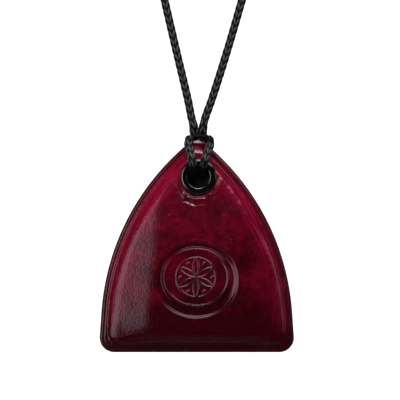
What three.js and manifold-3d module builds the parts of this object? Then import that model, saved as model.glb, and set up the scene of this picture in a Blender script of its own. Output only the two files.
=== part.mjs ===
// Leather amulet pendant on a braided hanging cord: a moulded two-part case, its packed contents,
// a black eyelet, and the cord that is looped through it. Millimetres, +Z up, the front faces -Y.
import * as THREE from "three";
import { mergeVertices } from "three/addons/utils/BufferGeometryUtils.js";
import Module from "manifold-3d";

// Case outline: a pointed arch on a straight base, with leaning flanks
const BASE_HALF_WIDTH = 24.55;
const FLANK_LEAN = THREE.MathUtils.degToRad(3.96);
const FLANK_HEIGHT = 10;
const SIDE_RADIUS = 60;
const CORNER_RADIUS = 3.7;
const APEX_RADIUS = 2;
const LEAST_RADIUS = 0.6;

// Moulded front: flat margin, crease, a rounded side, and a panel with a flat middle and side facets
const LEATHER = 1.2;
const EDGE_ROUND = 0.45;
const CREASE_FROM = 0.72;
const CREASE_WIDTH = 0.36;
const CREASE_DEPTH = 0.15;
const STEP_FROM = 1.6;
const STEP_WIDTH = 2;
const PANEL_RISE = 2.8;
const BASE_FALL = 1.7;
const BASE_REACH = 9.5;
const TOP_FALL = 1.2;
const TOP_FROM = 24;
const TOP_REACH = 22;
const FLAT_HALF = 8.4;
const FLAT_HEIGHT = 30;
const FLAT_LEAN = 0.1;
const KNEE = 3;
const SIDE_SLOPE = 0.18;
const LEAST_RISE = 1.1;
const RISE_BLEND = 0.3;
const RIDGE_BLEND = 3;
const PLATEAU = LEATHER + PANEL_RISE;

// Back: a flat raised panel that ends below the eyelet
const BACK_FOOT_INSET = 4.6;
const BACK_PANEL_INSET = 6.4;
const BACK_PANEL_RISE = 1.2;
const BACK_PANEL_TOP_RADIUS = 14;
const BACK_PANEL_CORNER = 2.4;
const BACK_FACE = LEATHER + BACK_PANEL_RISE;

// Medallion: an oval ring groove pressed round an oval disc, set a little off the middle
const RING = { x: -0.24, z: 18.1, a: 10.5, b: 9.6 };
const DISC = { x: -0.46, z: 18.9, a: 7.9, b: 7.1 };
const GROOVE_DEPTH = 0.55;
const GROOVE_INNER_WALL = 0.28;
const GROOVE_FLOOR = 0.46;

// Eyelet and washer, set in the front leather, and the dent that they press into it
const EYELET_X = 0.4;
const EYELET_DROP = 9.55;
const BORE_RADIUS = 2.75;
const BARREL_WALL = 0.3;
const FLANGE_RADIUS = 4.5;
const FLANGE_EDGE = 0.12;
const FLANGE_DOME = 0.85;
const SEAT_HEIGHT = 2.7;
const DENT_RADIUS = 4.9;
const DENT_FADE = 2.6;
const WASHER_RADIUS = 4.1;
const WASHER_THICK = 0.4;
const ROLL_RADIUS = 3.8;
const ROLL_DOME = 0.5;
const SEAT_INNER = LEATHER - SEAT_HEIGHT;

// Contents, in a square packet that sits in a pocket of the former
const FIT = 0.3;
const FORMER_BACK = 0.3;
const FORMER_CLEAR = 1.3;
const PACKET_WIDTH = 0.896 * BASE_HALF_WIDTH;
const PACKET_HEIGHT = PACKET_WIDTH;
const PACKET_BOTTOM = 8;
const PACKET_FRONT = -1.2;
const PACKET_BACK = 0.3;
const WRAP_WALL = 0.15;
const PAPER = 0.1;
const FOLD_PITCH = 0.2;
const PAPER_LAYERS = 5;
const BOARD_THICK = 0.7;
const BOARD_INSET = 7.3;
const DISC_THICK = 1;
const DISC_CHAMFER = 0.3;

// Cord: hitched through the eyelet and a slot in the back, two strands in a V, held in a loop above
const CORD = 2;
const CORD_RADIUS = CORD / 2;
const PASS_X = 1.1;
const PASS_RISE = 0.9;
const SLOT_CLEAR = 0.35;
const HANG_X = EYELET_X;
const HANG_Y = -0.2;
const STRAND_GAP = 1.42;
const STRAND_SPREAD = 0.27;
const NECK_Y = 0.9;
const NECK_RISE = 13.7;
const HELD_RISE = 35.5;
const HELD_LEFT = -9.2;
const HELD_RIGHT = 12.8;
const LOOP_LEAN = THREE.MathUtils.degToRad(14.5);
const LOOP_X = (HELD_LEFT + HELD_RIGHT) / 2;
const LOOP_RADIUS = (HELD_RIGHT - HELD_LEFT) / 2 / Math.cos(LOOP_LEAN);
const KNOT_TURNS = 3;
const KNOT_PITCH = 3.1;
const KNOT_FROM = THREE.MathUtils.degToRad(24);
const WRAP_RADIUS = CORD + FIT;

// Faceting
const BASE_STEPS = 6;
const CORNER_STEPS = 4;
const FLANK_STEPS = 2;
const SIDE_STEPS = 12;
const APEX_STEPS = 3;
const ROUND_STEPS = 32;
const CORD_SIDES = 8;
const FACE_INSETS = [4.2, 5.8, 7.6];
const FACE_MORPHS = [0.25, 0.5, 0.75];
const FORMER_INSET = FACE_INSETS[0];

const wasm = await Module();
wasm.setup();

const clamp01 = (t) => Math.min(1, Math.max(0, t));
const lerp = THREE.MathUtils.lerp;
const ease = (t) => clamp01(t) ** 2 * (3 - 2 * clamp01(t));
const at = (x, y, z) => new THREE.Vector3(x, y, z);

// The circle that the right side follows; the left one mirrors it
const SIDE_X = BASE_HALF_WIDTH - FLANK_HEIGHT * Math.tan(FLANK_LEAN) - SIDE_RADIUS * Math.cos(FLANK_LEAN);
const SIDE_Z = FLANK_HEIGHT - SIDE_RADIUS * Math.sin(FLANK_LEAN);

// Heights that follow from the outline: the top of the case, the eyelet below it, the cord above it
const APEX_Z = SIDE_Z + Math.sqrt((SIDE_RADIUS - APEX_RADIUS) ** 2 - SIDE_X ** 2) + APEX_RADIUS;
const EYELET_Z = APEX_Z - EYELET_DROP;
const NECK_Z = EYELET_Z + NECK_RISE;
const HELD_Z = NECK_Z + HELD_RISE;
const LOOP_Z = HELD_Z + LOOP_RADIUS * Math.sin(LOOP_LEAN);

// Points of the right half outline from the base to the apex, moved in by inset
function halfOutline(inset, cornerRadius, apexRadius) {
  const points = [];
  const cos = Math.cos(FLANK_LEAN);
  const sin = Math.sin(FLANK_LEAN);
  const cornerZ = inset + cornerRadius;
  const cornerX = (BASE_HALF_WIDTH * cos - inset - cornerRadius - sin * cornerZ) / cos;
  const radius = SIDE_RADIUS - inset;
  const apexZ = SIDE_Z + Math.sqrt((radius - apexRadius) ** 2 - SIDE_X ** 2);
  const apexFrom = Math.atan2(apexZ - SIDE_Z, -SIDE_X);
  const flankFrom = at(cornerX + cornerRadius * cos, 0, cornerZ + cornerRadius * sin);
  const flankTo = at(SIDE_X + radius * cos, 0, SIDE_Z + radius * sin);
  for (let i = 0; i < BASE_STEPS; i++) points.push([(cornerX * i) / BASE_STEPS, inset]);
  for (let i = 0; i < CORNER_STEPS; i++) {
    const turn = lerp(-Math.PI / 2, FLANK_LEAN, i / CORNER_STEPS);
    points.push([cornerX + cornerRadius * Math.cos(turn), cornerZ + cornerRadius * Math.sin(turn)]);
  }
  for (let i = 0; i < FLANK_STEPS; i++) {
    const spot = flankFrom.clone().lerp(flankTo, i / FLANK_STEPS);
    points.push([spot.x, spot.z]);
  }
  for (let i = 0; i < SIDE_STEPS; i++) {
    const turn = lerp(FLANK_LEAN, apexFrom, i / SIDE_STEPS);
    points.push([SIDE_X + radius * Math.cos(turn), SIDE_Z + radius * Math.sin(turn)]);
  }
  for (let i = 0; i <= APEX_STEPS; i++) {
    const turn = lerp(apexFrom, Math.PI / 2, i / APEX_STEPS);
    points.push([apexRadius * Math.cos(turn), apexZ + apexRadius * Math.sin(turn)]);
  }
  return points;
}

// The whole outline, counter-clockwise seen from the front
function outline(inset, cornerRadius = CORNER_RADIUS - inset, apexRadius = APEX_RADIUS - inset) {
  const right = halfOutline(
    inset,
    Math.max(cornerRadius, LEAST_RADIUS),
    Math.max(apexRadius, LEAST_RADIUS),
  );
  const left = right.slice(1, -1).reverse().map(([x, z]) => [-x, z]);
  return [...right, ...left];
}

// How far inside the outline a point of the face lies, with the ridges between sides rounded off
function depthInside(x, z) {
  const flank = (BASE_HALF_WIDTH - Math.abs(x)) * Math.cos(FLANK_LEAN) - z * Math.sin(FLANK_LEAN);
  const side = (sign) => SIDE_RADIUS - Math.hypot(sign * x - SIDE_X, z - SIDE_Z);
  const softMin = (p, q) => {
    const share = clamp01(0.5 + (q - p) / (2 * RIDGE_BLEND));
    return lerp(q, p, share) - RIDGE_BLEND * share * (1 - share);
  };
  const sides = softMin(side(1), side(-1));
  return softMin(z < FLANK_HEIGHT ? Math.min(flank, sides) : sides, z);
}

// Share of the way across the ring groove, from the disc's edge to the outer rim
function grooveShare(x, z) {
  const outer = 1 - Math.hypot((x - RING.x) / RING.a, (z - RING.z) / RING.b);
  const inner = Math.hypot((x - DISC.x) / DISC.a, (z - DISC.z) / DISC.b) - 1;
  if (outer <= 0) return 1;
  if (inner <= 0) return 0;
  return (inner * DISC.a) / (inner * DISC.a + outer * RING.a);
}

function grooveDepth(share) {
  if (share < GROOVE_INNER_WALL) return GROOVE_DEPTH * ease(share / GROOVE_INNER_WALL);
  return GROOVE_DEPTH * ease((1 - share) / (1 - GROOVE_FLOOR));
}

// Height of the panel above the margin: it falls to the base, to the top and to both sides
function panelRise(x, z) {
  const base = BASE_FALL * clamp01(1 - (z - STEP_FROM) / BASE_REACH) ** 2;
  const top = TOP_FALL * ease((z - TOP_FROM) / TOP_REACH);
  const beyond = Math.abs(x) - FLAT_HALF - FLAT_LEAN * (FLAT_HEIGHT - z);
  const bend = (clamp01(beyond / KNEE) ** 2 * KNEE) / 2 + Math.max(beyond - KNEE, 0);
  const over = PANEL_RISE - base - top - SIDE_SLOPE * bend - LEAST_RISE;
  return LEAST_RISE + (over + Math.hypot(over, RISE_BLEND)) / 2;
}

// Height of the front skin above the seam at a point of the face
function frontHeight(x, z) {
  const step = ease((depthInside(x, z) - STEP_FROM) / STEP_WIDTH);
  const panel = LEATHER + step * panelRise(x, z) - grooveDepth(grooveShare(x, z));
  const dented = Math.min(panel, SEAT_HEIGHT);
  const away = Math.hypot(x - EYELET_X, z - EYELET_Z);
  return lerp(dented, panel, ease((away - DENT_RADIUS) / DENT_FADE));
}

// A closed skin over rings of equal length; a ring of one point is a pole
function skin(rings) {
  const positions = [];
  const starts = [];
  for (const ring of rings) {
    starts.push(positions.length / 3);
    for (const p of ring) positions.push(p.x, p.y, p.z);
  }
  const index = [];
  const count = Math.max(...rings.map((ring) => ring.length));
  for (let r = 0; r + 1 < rings.length; r++) {
    const lone = [rings[r].length === 1, rings[r + 1].length === 1];
    for (let i = 0; i < count; i++) {
      const next = (i + 1) % count;
      const a = starts[r] + (lone[0] ? 0 : i);
      const b = starts[r] + (lone[0] ? 0 : next);
      const c = starts[r + 1] + (lone[1] ? 0 : next);
      const d = starts[r + 1] + (lone[1] ? 0 : i);
      if (!lone[0]) index.push(a, b, c);
      if (!lone[1]) index.push(a, c, d);
    }
  }
  const geometry = new THREE.BufferGeometry();
  geometry.setAttribute("position", new THREE.Float32BufferAttribute(positions, 3));
  geometry.setIndex(index);
  return geometry;
}

const ringAt = (points, y) => points.map(([x, z]) => at(x, y, z));
const ringOver = (points, height) => points.map(([x, z]) => at(x, -height(x, z), z));

// An oval ring whose points lie in the same directions as the outline's
function ovalRing(oval, scale, like) {
  return like.map(([x, z]) => {
    const turn = Math.atan2((z - oval.z) / oval.b, (x - oval.x) / oval.a);
    return [oval.x + scale * oval.a * Math.cos(turn), oval.z + scale * oval.b * Math.sin(turn)];
  });
}

// Rings of the face from an inset outline in to the middle of the medallion
function faceRings(insets) {
  const outlines = insets.map((inset) => outline(inset));
  const last = outlines[outlines.length - 1];
  const rim = ovalRing(RING, 1, last);
  const edge = ovalRing(DISC, 1, last);
  const between = (from, to, t) => from.map(([x, z], i) => [lerp(x, to[i][0], t), lerp(z, to[i][1], t)]);
  return [
    ...outlines,
    ...FACE_MORPHS.map((t) => between(last, rim, t)),
    rim,
    between(edge, rim, GROOVE_FLOOR),
    between(edge, rim, GROOVE_INNER_WALL),
    edge,
    ovalRing(DISC, 0.5, last),
  ];
}

// Solids for cuts and joins
function solid(geometry) {
  const bare = geometry.clone();
  bare.deleteAttribute("normal");
  bare.deleteAttribute("uv");
  const merged = mergeVertices(bare, 1e-4);
  return new wasm.Manifold(
    new wasm.Mesh({
      numProp: 3,
      vertProperties: new Float32Array(merged.attributes.position.array),
      triVerts: new Uint32Array(merged.index.array),
    }),
  );
}

function fromSolid(made) {
  const mesh = made.getMesh();
  const geometry = new THREE.BufferGeometry();
  geometry.setAttribute("position", new THREE.Float32BufferAttribute(mesh.vertProperties, 3));
  geometry.setIndex([...mesh.triVerts]);
  return geometry;
}

const cut = (geometry, ...tools) =>
  fromSolid(tools.reduce((made, tool) => made.subtract(solid(tool)), solid(geometry)));
const join = (geometry, ...others) =>
  fromSolid(others.reduce((made, other) => made.add(solid(other)), solid(geometry)));

// A round tool along Y at the eyelet, from one depth to another
function eyeletTool(radius, from, to) {
  const geometry = new THREE.CylinderGeometry(radius, radius, to - from, ROUND_STEPS);
  return geometry.translate(EYELET_X, (from + to) / 2, EYELET_Z);
}

// A shape drawn in X and Z, given a thickness towards the front from yBack
function plate(points, yBack, thickness) {
  const shape = new THREE.Shape(points.map(([x, z]) => new THREE.Vector2(x, z)));
  const geometry = new THREE.ExtrudeGeometry(shape, { depth: thickness, bevelEnabled: false });
  return geometry.rotateX(Math.PI / 2).translate(0, yBack, 0);
}

// A shape drawn in Y and Z, drawn out along X about the middle
function bar(shape, width) {
  const geometry = new THREE.ExtrudeGeometry(shape, { depth: width, bevelEnabled: false });
  geometry.translate(0, 0, -width / 2);
  return geometry.applyMatrix4(new THREE.Matrix4().makeBasis(at(0, 1, 0), at(0, 0, 1), at(1, 0, 0)));
}

function frontCover() {
  const edgeMid = EDGE_ROUND * (1 - Math.SQRT1_2);
  const face = faceRings([STEP_FROM + STEP_WIDTH / 2, STEP_FROM + STEP_WIDTH, ...FACE_INSETS]);
  const middle = [[DISC.x, DISC.z]];
  const inner = (x, z) => Math.max(frontHeight(x, z) - LEATHER, 0);
  const rings = [
    ringOver(middle, inner),
    ...face.map((ring) => ringOver(ring, inner)).reverse(),
    ringAt(outline(STEP_FROM), 0),
    ringAt(outline(0), 0),
    ringAt(outline(0), EDGE_ROUND - LEATHER),
    ringAt(outline(edgeMid), edgeMid - LEATHER),
    ringAt(outline(EDGE_ROUND), -LEATHER),
    ringAt(outline(CREASE_FROM), -LEATHER),
    ringAt(outline(CREASE_FROM + CREASE_WIDTH / 2), CREASE_DEPTH - LEATHER),
    ringAt(outline(CREASE_FROM + CREASE_WIDTH), -LEATHER),
    ringAt(outline(STEP_FROM), -LEATHER),
    ...face.map((ring) => ringOver(ring, frontHeight)),
    ringOver(middle, frontHeight),
  ];
  const bore = eyeletTool(BORE_RADIUS + BARREL_WALL + FIT, -10, 1);
  const seat = eyeletTool(FLANGE_RADIUS + FIT, -10, -SEAT_HEIGHT);
  const innerSeat = eyeletTool(WASHER_RADIUS + FIT, SEAT_INNER, 1);
  return cut(skin(rings), bore, seat, innerSeat);
}

// The back panel's outline at an inset, with its corners and its round top moved in to match
function backPanel(inset) {
  const further = inset - BACK_PANEL_INSET;
  return outline(inset, BACK_PANEL_CORNER - further, BACK_PANEL_TOP_RADIUS - further);
}

function backCover() {
  const edgeMid = EDGE_ROUND * (1 - Math.SQRT1_2);
  const middle = [[0, RING.z]];
  const rings = [
    ringAt(middle, BACK_FACE),
    ringAt(backPanel(BACK_PANEL_INSET), BACK_FACE),
    ringAt(backPanel((BACK_PANEL_INSET + BACK_FOOT_INSET) / 2 - 0.2), LEATHER + BACK_PANEL_RISE * 0.7),
    ringAt(backPanel(BACK_FOOT_INSET), LEATHER),
    ringAt(outline(EDGE_ROUND), LEATHER),
    ringAt(outline(edgeMid), LEATHER - edgeMid),
    ringAt(outline(0), LEATHER - EDGE_ROUND),
    ringAt(outline(0), 0),
    ringAt(backPanel(BACK_FOOT_INSET), 0),
    ringAt(backPanel(BACK_PANEL_INSET), BACK_PANEL_RISE),
    ringAt(middle, BACK_PANEL_RISE),
  ];
  return cut(skin(rings), cordSlot());
}

// Slot with round ends, just wide enough for the two cords side by side
function cordSlot() {
  const radius = CORD_RADIUS + SLOT_CLEAR;
  const points = [];
  for (let i = 0; i < ROUND_STEPS; i++) {
    const turn = (2 * Math.PI * (i + 0.5)) / ROUND_STEPS;
    const end = Math.cos(turn) > 0 ? PASS_X : -PASS_X;
    points.push([HANG_X + end + radius * Math.cos(turn), EYELET_Z + PASS_RISE + radius * Math.sin(turn)]);
  }
  return plate(points, BACK_FACE, 2 * BACK_FACE);
}

// Pressed board that carries the front's relief: open under the medallion, pocketed for the packet,
// and ending below the eyelet
function frontFormer() {
  const under = (x, z) => frontHeight(x, z) - LEATHER - FIT;
  const face = faceRings(FACE_INSETS);
  const rings = [
    ringAt([[DISC.x, DISC.z]], -FORMER_BACK),
    ringAt(outline(FORMER_INSET), -FORMER_BACK),
    ...face.map((ring) => ringOver(ring, under)),
    ringOver([[DISC.x, DISC.z]], under),
  ];
  const opening = plate(ovalRing(RING, (RING.a - 2 * FIT) / RING.a, outline(FORMER_INSET)), 1, 8);
  const pocket = new THREE.BoxGeometry(PACKET_WIDTH + 2 * FIT, 2 * (FIT - PACKET_FRONT), PACKET_HEIGHT + 2 * FIT);
  pocket.translate(0, 0, PACKET_BOTTOM + PACKET_HEIGHT / 2);
  const above = new THREE.BoxGeometry(2 * BASE_HALF_WIDTH, 4 * PLATEAU, 2 * EYELET_Z);
  above.translate(0, 0, 2 * EYELET_Z - WASHER_RADIUS - FORMER_CLEAR);
  return cut(skin(rings), opening, pocket, above);
}

// Stiff disc that lifts the medallion inside the groove
function medallionDisc() {
  const front = -(PLATEAU - LEATHER - FIT - 0.1);
  const like = outline(FORMER_INSET);
  const size = 1 - (FIT + 0.1) / DISC.a;
  const small = size - DISC_CHAMFER / DISC.a;
  const middle = [[DISC.x, DISC.z]];
  return skin([
    ringAt(middle, front + DISC_THICK),
    ringAt(ovalRing(DISC, size, like), front + DISC_THICK),
    ringAt(ovalRing(DISC, size, like), front + DISC_CHAMFER),
    ringAt(ovalRing(DISC, small, like), front),
    ringAt(middle, front),
  ]);
}

// One long sheet folded to and fro: a ribbon of even thickness, drawn out across the case
function prayerSheet() {
  const from = PACKET_FRONT + WRAP_WALL + 0.15 + PAPER / 2;
  const low = PACKET_BOTTOM + 0.6;
  const high = PACKET_BOTTOM + PACKET_HEIGHT - 0.6;
  const near = [];
  const far = [];
  for (let layer = 0; layer < PAPER_LAYERS; layer++) {
    const y = from + layer * FOLD_PITCH;
    const rising = layer % 2 === 0;
    const ends = rising ? [low, high] : [high, low];
    const first = layer === 0;
    const last = layer === PAPER_LAYERS - 1;
    const half = PAPER / 2;
    const side = rising ? half : -half;
    near.push([y - side, first ? ends[0] : ends[0] + half], [y - side, last ? ends[1] : ends[1] + half]);
    far.push([y + side, first ? ends[0] : ends[0] - half], [y + side, last ? ends[1] : ends[1] - half]);
  }
  const loop = [...near, ...far.reverse()].map(([y, z]) => new THREE.Vector2(y, z));
  return bar(new THREE.Shape(loop), PACKET_WIDTH - 1.4);
}

// Waxed sleeve round the sheet, open at its two ends
function waxedWrap() {
  const box = (grow) => [
    new THREE.Vector2(PACKET_FRONT - grow, PACKET_BOTTOM - grow),
    new THREE.Vector2(PACKET_BACK + grow, PACKET_BOTTOM - grow),
    new THREE.Vector2(PACKET_BACK + grow, PACKET_BOTTOM + PACKET_HEIGHT + grow),
    new THREE.Vector2(PACKET_FRONT - grow, PACKET_BOTTOM + PACKET_HEIGHT + grow),
  ];
  const sleeve = new THREE.Shape(box(0));
  sleeve.holes.push(new THREE.Path(box(-WRAP_WALL)));
  return bar(sleeve, PACKET_WIDTH);
}

const backBoard = () => plate(backPanel(BOARD_INSET), BACK_PANEL_RISE, BOARD_THICK);

// A half oval of a profile from one radius to another, bulging by rise
function bulge(from, to, y, rise, steps = 8) {
  const points = [];
  for (let i = 0; i <= steps; i++) {
    const turn = (Math.PI * i) / steps;
    const radius = lerp(from, to, (1 - Math.cos(turn)) / 2);
    points.push(new THREE.Vector2(radius, y + rise * Math.sin(turn)));
  }
  return points;
}

function eyelet() {
  const outer = BORE_RADIUS + BARREL_WALL;
  const rollUnder = SEAT_INNER + WASHER_THICK;
  const profile = [
    ...bulge(BORE_RADIUS, FLANGE_RADIUS, -SEAT_HEIGHT - FLANGE_EDGE, -FLANGE_DOME),
    new THREE.Vector2(FLANGE_RADIUS, -SEAT_HEIGHT),
    new THREE.Vector2(outer, -SEAT_HEIGHT),
    new THREE.Vector2(outer, rollUnder),
    ...bulge(ROLL_RADIUS, BORE_RADIUS, rollUnder, ROLL_DOME, 6),
  ];
  profile.push(profile[0].clone());
  return new THREE.LatheGeometry(profile, ROUND_STEPS).translate(EYELET_X, 0, EYELET_Z);
}

function eyeletWasher() {
  const inner = BORE_RADIUS + BARREL_WALL + FIT;
  const round = WASHER_THICK / 2;
  const profile = [
    new THREE.Vector2(inner, SEAT_INNER),
    new THREE.Vector2(WASHER_RADIUS, SEAT_INNER),
    new THREE.Vector2(WASHER_RADIUS, SEAT_INNER + round),
    new THREE.Vector2(WASHER_RADIUS - round, SEAT_INNER + WASHER_THICK),
    new THREE.Vector2(inner, SEAT_INNER + WASHER_THICK),
    new THREE.Vector2(inner, SEAT_INNER),
  ];
  return new THREE.LatheGeometry(profile, ROUND_STEPS).translate(EYELET_X, 0, EYELET_Z);
}

// A round cord along a smooth curve
function cord(curve, steps, sides = CORD_SIDES) {
  const round = new THREE.Shape();
  for (let i = 0; i < sides; i++) {
    const turn = (2 * Math.PI * i) / sides;
    const spot = [CORD_RADIUS * Math.cos(turn), CORD_RADIUS * Math.sin(turn)];
    if (i === 0) round.moveTo(...spot);
    else round.lineTo(...spot);
  }
  round.closePath();
  return new THREE.ExtrudeGeometry(round, { steps, extrudePath: curve, bevelEnabled: false });
}

const smooth = (points) => new THREE.CatmullRomCurve3(points, false, "centripetal");

// One tail of the hitch, from the neck of the V down the back, through the slot and out of the eyelet:
// across from the eyelet's middle, depth, and height above that middle
const TAIL = [
  [STRAND_GAP, NECK_Y, NECK_RISE],
  [1.2, NECK_Y + 0.1, NECK_RISE - 1],
  [PASS_X, 1.45, 11.5],
  [PASS_X, 2.15, 10.3],
  [PASS_X, 2.5, 8.8],
  [PASS_X, 2.6, 6.7],
  [PASS_X, 2.6, 4.6],
  [PASS_X, 2.55, 2.8],
  [PASS_X, 2.1, 1.5],
  [PASS_X, 1.1, PASS_RISE],
  [PASS_X, -0.1, PASS_RISE - 0.05],
  [PASS_X, -1.4, PASS_RISE - 0.05],
  [PASS_X, -2.7, PASS_RISE + 0.1],
  [1.15, -3.95, 1.4],
  [1.27, -4.85, 2.4],
];

// The bight on the front: up the right leg, over the top of the case before the tails, down the left leg
const BIGHT = [
  [1.5, -5.15, 3.7],
  [1.95, -4.65, 5.2],
  [2.45, -3.75, 6.5],
  [2.8, -3.1, 7.6],
  [2.92, -2.75, 8.5],
  [2.68, -2.55, 9.4],
  [1.9, -2.4, 10.05],
  [0.75, -2.35, 10.3],
  [-0.5, -2.35, 10.35],
  [-1.55, -2.4, 10.15],
  [-2.2, -2.55, 9.55],
  [-2.45, -2.8, 8.6],
  [-2.38, -3.15, 7.6],
  [-2.1, -3.8, 6.4],
  [-1.75, -4.65, 5.1],
  [-1.45, -5.15, 3.7],
];

function hitchCurve() {
  const right = TAIL.map(([x, y, z]) => at(HANG_X + x, y, EYELET_Z + z));
  const bight = BIGHT.map(([x, y, z]) => at(HANG_X + x, y, EYELET_Z + z));
  const left = [...TAIL].reverse().map(([x, y, z]) => at(HANG_X - x, y, EYELET_Z + z));
  return smooth([...right, ...bight, ...left]);
}

// A strand from just above the neck to the held line, where its round end sits on the swing axis
function strandCurve(side, bow, heldX) {
  const near = (rise) => at(HANG_X + side * (STRAND_GAP + STRAND_SPREAD * rise), NECK_Y, NECK_Z + rise);
  const points = [near(FIT), near(1.2)];
  for (const [x, rise] of bow) points.push(at(x, lerp(NECK_Y, HANG_Y, rise / HELD_RISE), NECK_Z + rise));
  points.push(at(heldX, HANG_Y, HELD_Z));
  return smooth(points);
}

// Points of each strand: across, and height above the neck
const LEFT_BOW = [[-2.2, 5.5], [-5.16, 18], [-8.06, 30.5]];
const RIGHT_BOW = [[3.7, 5.5], [7.66, 18], [11.31, 30.5]];

function strand(curve) {
  const ball = new THREE.SphereGeometry(CORD_RADIUS, CORD_SIDES, CORD_SIDES);
  const end = curve.getPoint(1);
  return join(cord(curve, 12), ball.translate(end.x, end.y, end.z));
}

// A point of the loop at an angle from +X, moved out by a distance and back by a depth
function loopPoint(turn, out = 0, back = 0) {
  const radius = LOOP_RADIUS + out;
  return at(LOOP_X + radius * Math.cos(turn), HANG_Y + back, LOOP_Z + radius * Math.sin(turn));
}

const HELD_TURN = -LOOP_LEAN + (CORD_RADIUS + FIT) / LOOP_RADIUS;
const KNOT_TO = KNOT_FROM + (KNOT_TURNS * KNOT_PITCH) / LOOP_RADIUS;

// From the left held point over the top, on through the knot, and out to a short free end
function topLoopCurve() {
  const points = [];
  const steps = 14;
  for (let i = 0; i <= steps; i++) points.push(loopPoint(lerp(Math.PI - HELD_TURN, KNOT_FROM - 0.08, i / steps)));
  points.push(loopPoint(KNOT_FROM - 0.3, 1, 1.2));
  points.push(loopPoint(KNOT_FROM - 0.5, 2.6, 1.9));
  points.push(loopPoint(KNOT_FROM - 0.68, 4.4, 2.2));
  return smooth(points);
}

// From the right held point up beside the free end, then wound round the loop
function knotCurve() {
  const points = [
    loopPoint(HELD_TURN),
    loopPoint(lerp(HELD_TURN, KNOT_FROM, 0.3), -0.6, -0.2),
    loopPoint(lerp(HELD_TURN, KNOT_FROM, 0.62), -1.9, -0.7),
  ];
  const perTurn = 12;
  for (let i = -1; i <= KNOT_TURNS * perTurn; i++) {
    const wound = (2 * Math.PI * i) / perTurn;
    const along = lerp(KNOT_FROM, KNOT_TO, i / (KNOT_TURNS * perTurn));
    points.push(loopPoint(along, WRAP_RADIUS * Math.sin(wound), -WRAP_RADIUS * Math.cos(wound)));
  }
  return smooth(points);
}

// Least gap of a cord to itself, measured on points along it
function selfGap(curve, samples = 260) {
  const points = curve.getSpacedPoints(samples);
  const skip = Math.ceil((2.2 * CORD) / (curve.getLength() / samples));
  let least = Infinity;
  for (let i = 0; i < points.length; i++)
    for (let j = i + skip; j < points.length; j++)
      least = Math.min(least, points[i].distanceTo(points[j]) - CORD);
  return least;
}

const LEATHER_LOOK = { color: 0x5a0a18, roughness: 0.3, metalness: 0 };
const BOARD_LOOK = { color: 0x8a7a62, roughness: 0.9, metalness: 0 };
const PAPER_LOOK = { color: 0xe9e1cc, roughness: 0.85, metalness: 0 };
const WAX_LOOK = { color: 0xb8a86a, roughness: 0.5, metalness: 0 };
const ENAMEL_LOOK = { color: 0x0c0b0d, roughness: 0.18, metalness: 0.6 };
const CORD_LOOK = { color: 0x131214, roughness: 0.7, metalness: 0 };

const part = new THREE.Group();
part.name = "amulet_pendant";
const hung = new THREE.Group();
hung.position.set(-LOOP_X, -HANG_Y, CORD_RADIUS - LOOP_Z - LOOP_RADIUS);
part.add(hung);

function add(name, geometry, look) {
  const mesh = new THREE.Mesh(geometry, new THREE.MeshStandardMaterial(look));
  mesh.name = name;
  hung.add(mesh);
}

const hitch = hitchCurve();
const knot = knotCurve();
add("front_cover", frontCover(), LEATHER_LOOK);
add("back_cover", backCover(), LEATHER_LOOK);
add("front_former", frontFormer(), BOARD_LOOK);
add("medallion_disc", medallionDisc(), BOARD_LOOK);
add("prayer_sheet", prayerSheet(), PAPER_LOOK);
add("waxed_wrap", waxedWrap(), WAX_LOOK);
add("back_board", backBoard(), BOARD_LOOK);
add("eyelet", eyelet(), ENAMEL_LOOK);
add("eyelet_washer", eyeletWasher(), ENAMEL_LOOK);
add("cord_hitch", cord(hitch, 96), CORD_LOOK);
add("left_strand", strand(strandCurve(-1, LEFT_BOW, HELD_LEFT)), CORD_LOOK);
add("right_strand", strand(strandCurve(1, RIGHT_BOW, HELD_RIGHT)), CORD_LOOK);
add("top_loop", cord(topLoopCurve(), 28), CORD_LOOK);
add("closing_knot", cord(knot, 24 * KNOT_TURNS + 8, 6), CORD_LOOK);

console.log(`least gap of the hitch to itself ${selfGap(hitch).toFixed(2)} mm`);
console.log(`least gap of the knot to itself ${selfGap(knot).toFixed(2)} mm`);

export default part;
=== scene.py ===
import math

import bpy
import numpy as np
from bpy.props import FloatProperty, FloatVectorProperty, IntProperty, PointerProperty
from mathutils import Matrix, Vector, noise


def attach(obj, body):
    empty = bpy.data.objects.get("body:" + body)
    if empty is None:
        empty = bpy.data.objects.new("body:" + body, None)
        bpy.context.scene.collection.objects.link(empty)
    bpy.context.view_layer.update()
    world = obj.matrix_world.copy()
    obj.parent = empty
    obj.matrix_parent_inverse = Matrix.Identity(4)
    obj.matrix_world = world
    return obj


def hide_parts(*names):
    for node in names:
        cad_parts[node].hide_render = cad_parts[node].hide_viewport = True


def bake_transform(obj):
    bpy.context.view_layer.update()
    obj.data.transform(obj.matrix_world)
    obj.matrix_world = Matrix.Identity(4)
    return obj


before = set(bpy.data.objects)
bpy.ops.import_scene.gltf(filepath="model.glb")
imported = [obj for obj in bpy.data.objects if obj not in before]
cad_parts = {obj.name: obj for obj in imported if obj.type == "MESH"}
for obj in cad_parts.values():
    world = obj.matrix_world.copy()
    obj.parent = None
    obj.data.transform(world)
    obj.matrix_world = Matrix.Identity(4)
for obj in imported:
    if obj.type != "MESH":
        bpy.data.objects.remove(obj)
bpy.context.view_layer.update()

bl_info = {
    "name": "Amulet Pendant",
    "version": (1, 0, 0),
    "blender": (4, 5, 0),
    "location": "View3D > Sidebar > Amulet",
    "description": "Builds a moulded leather amulet case on a braided cord around its frame",
    "category": "Object",
}

MM = 0.001
FULL_TURN = 2 * math.pi

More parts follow.
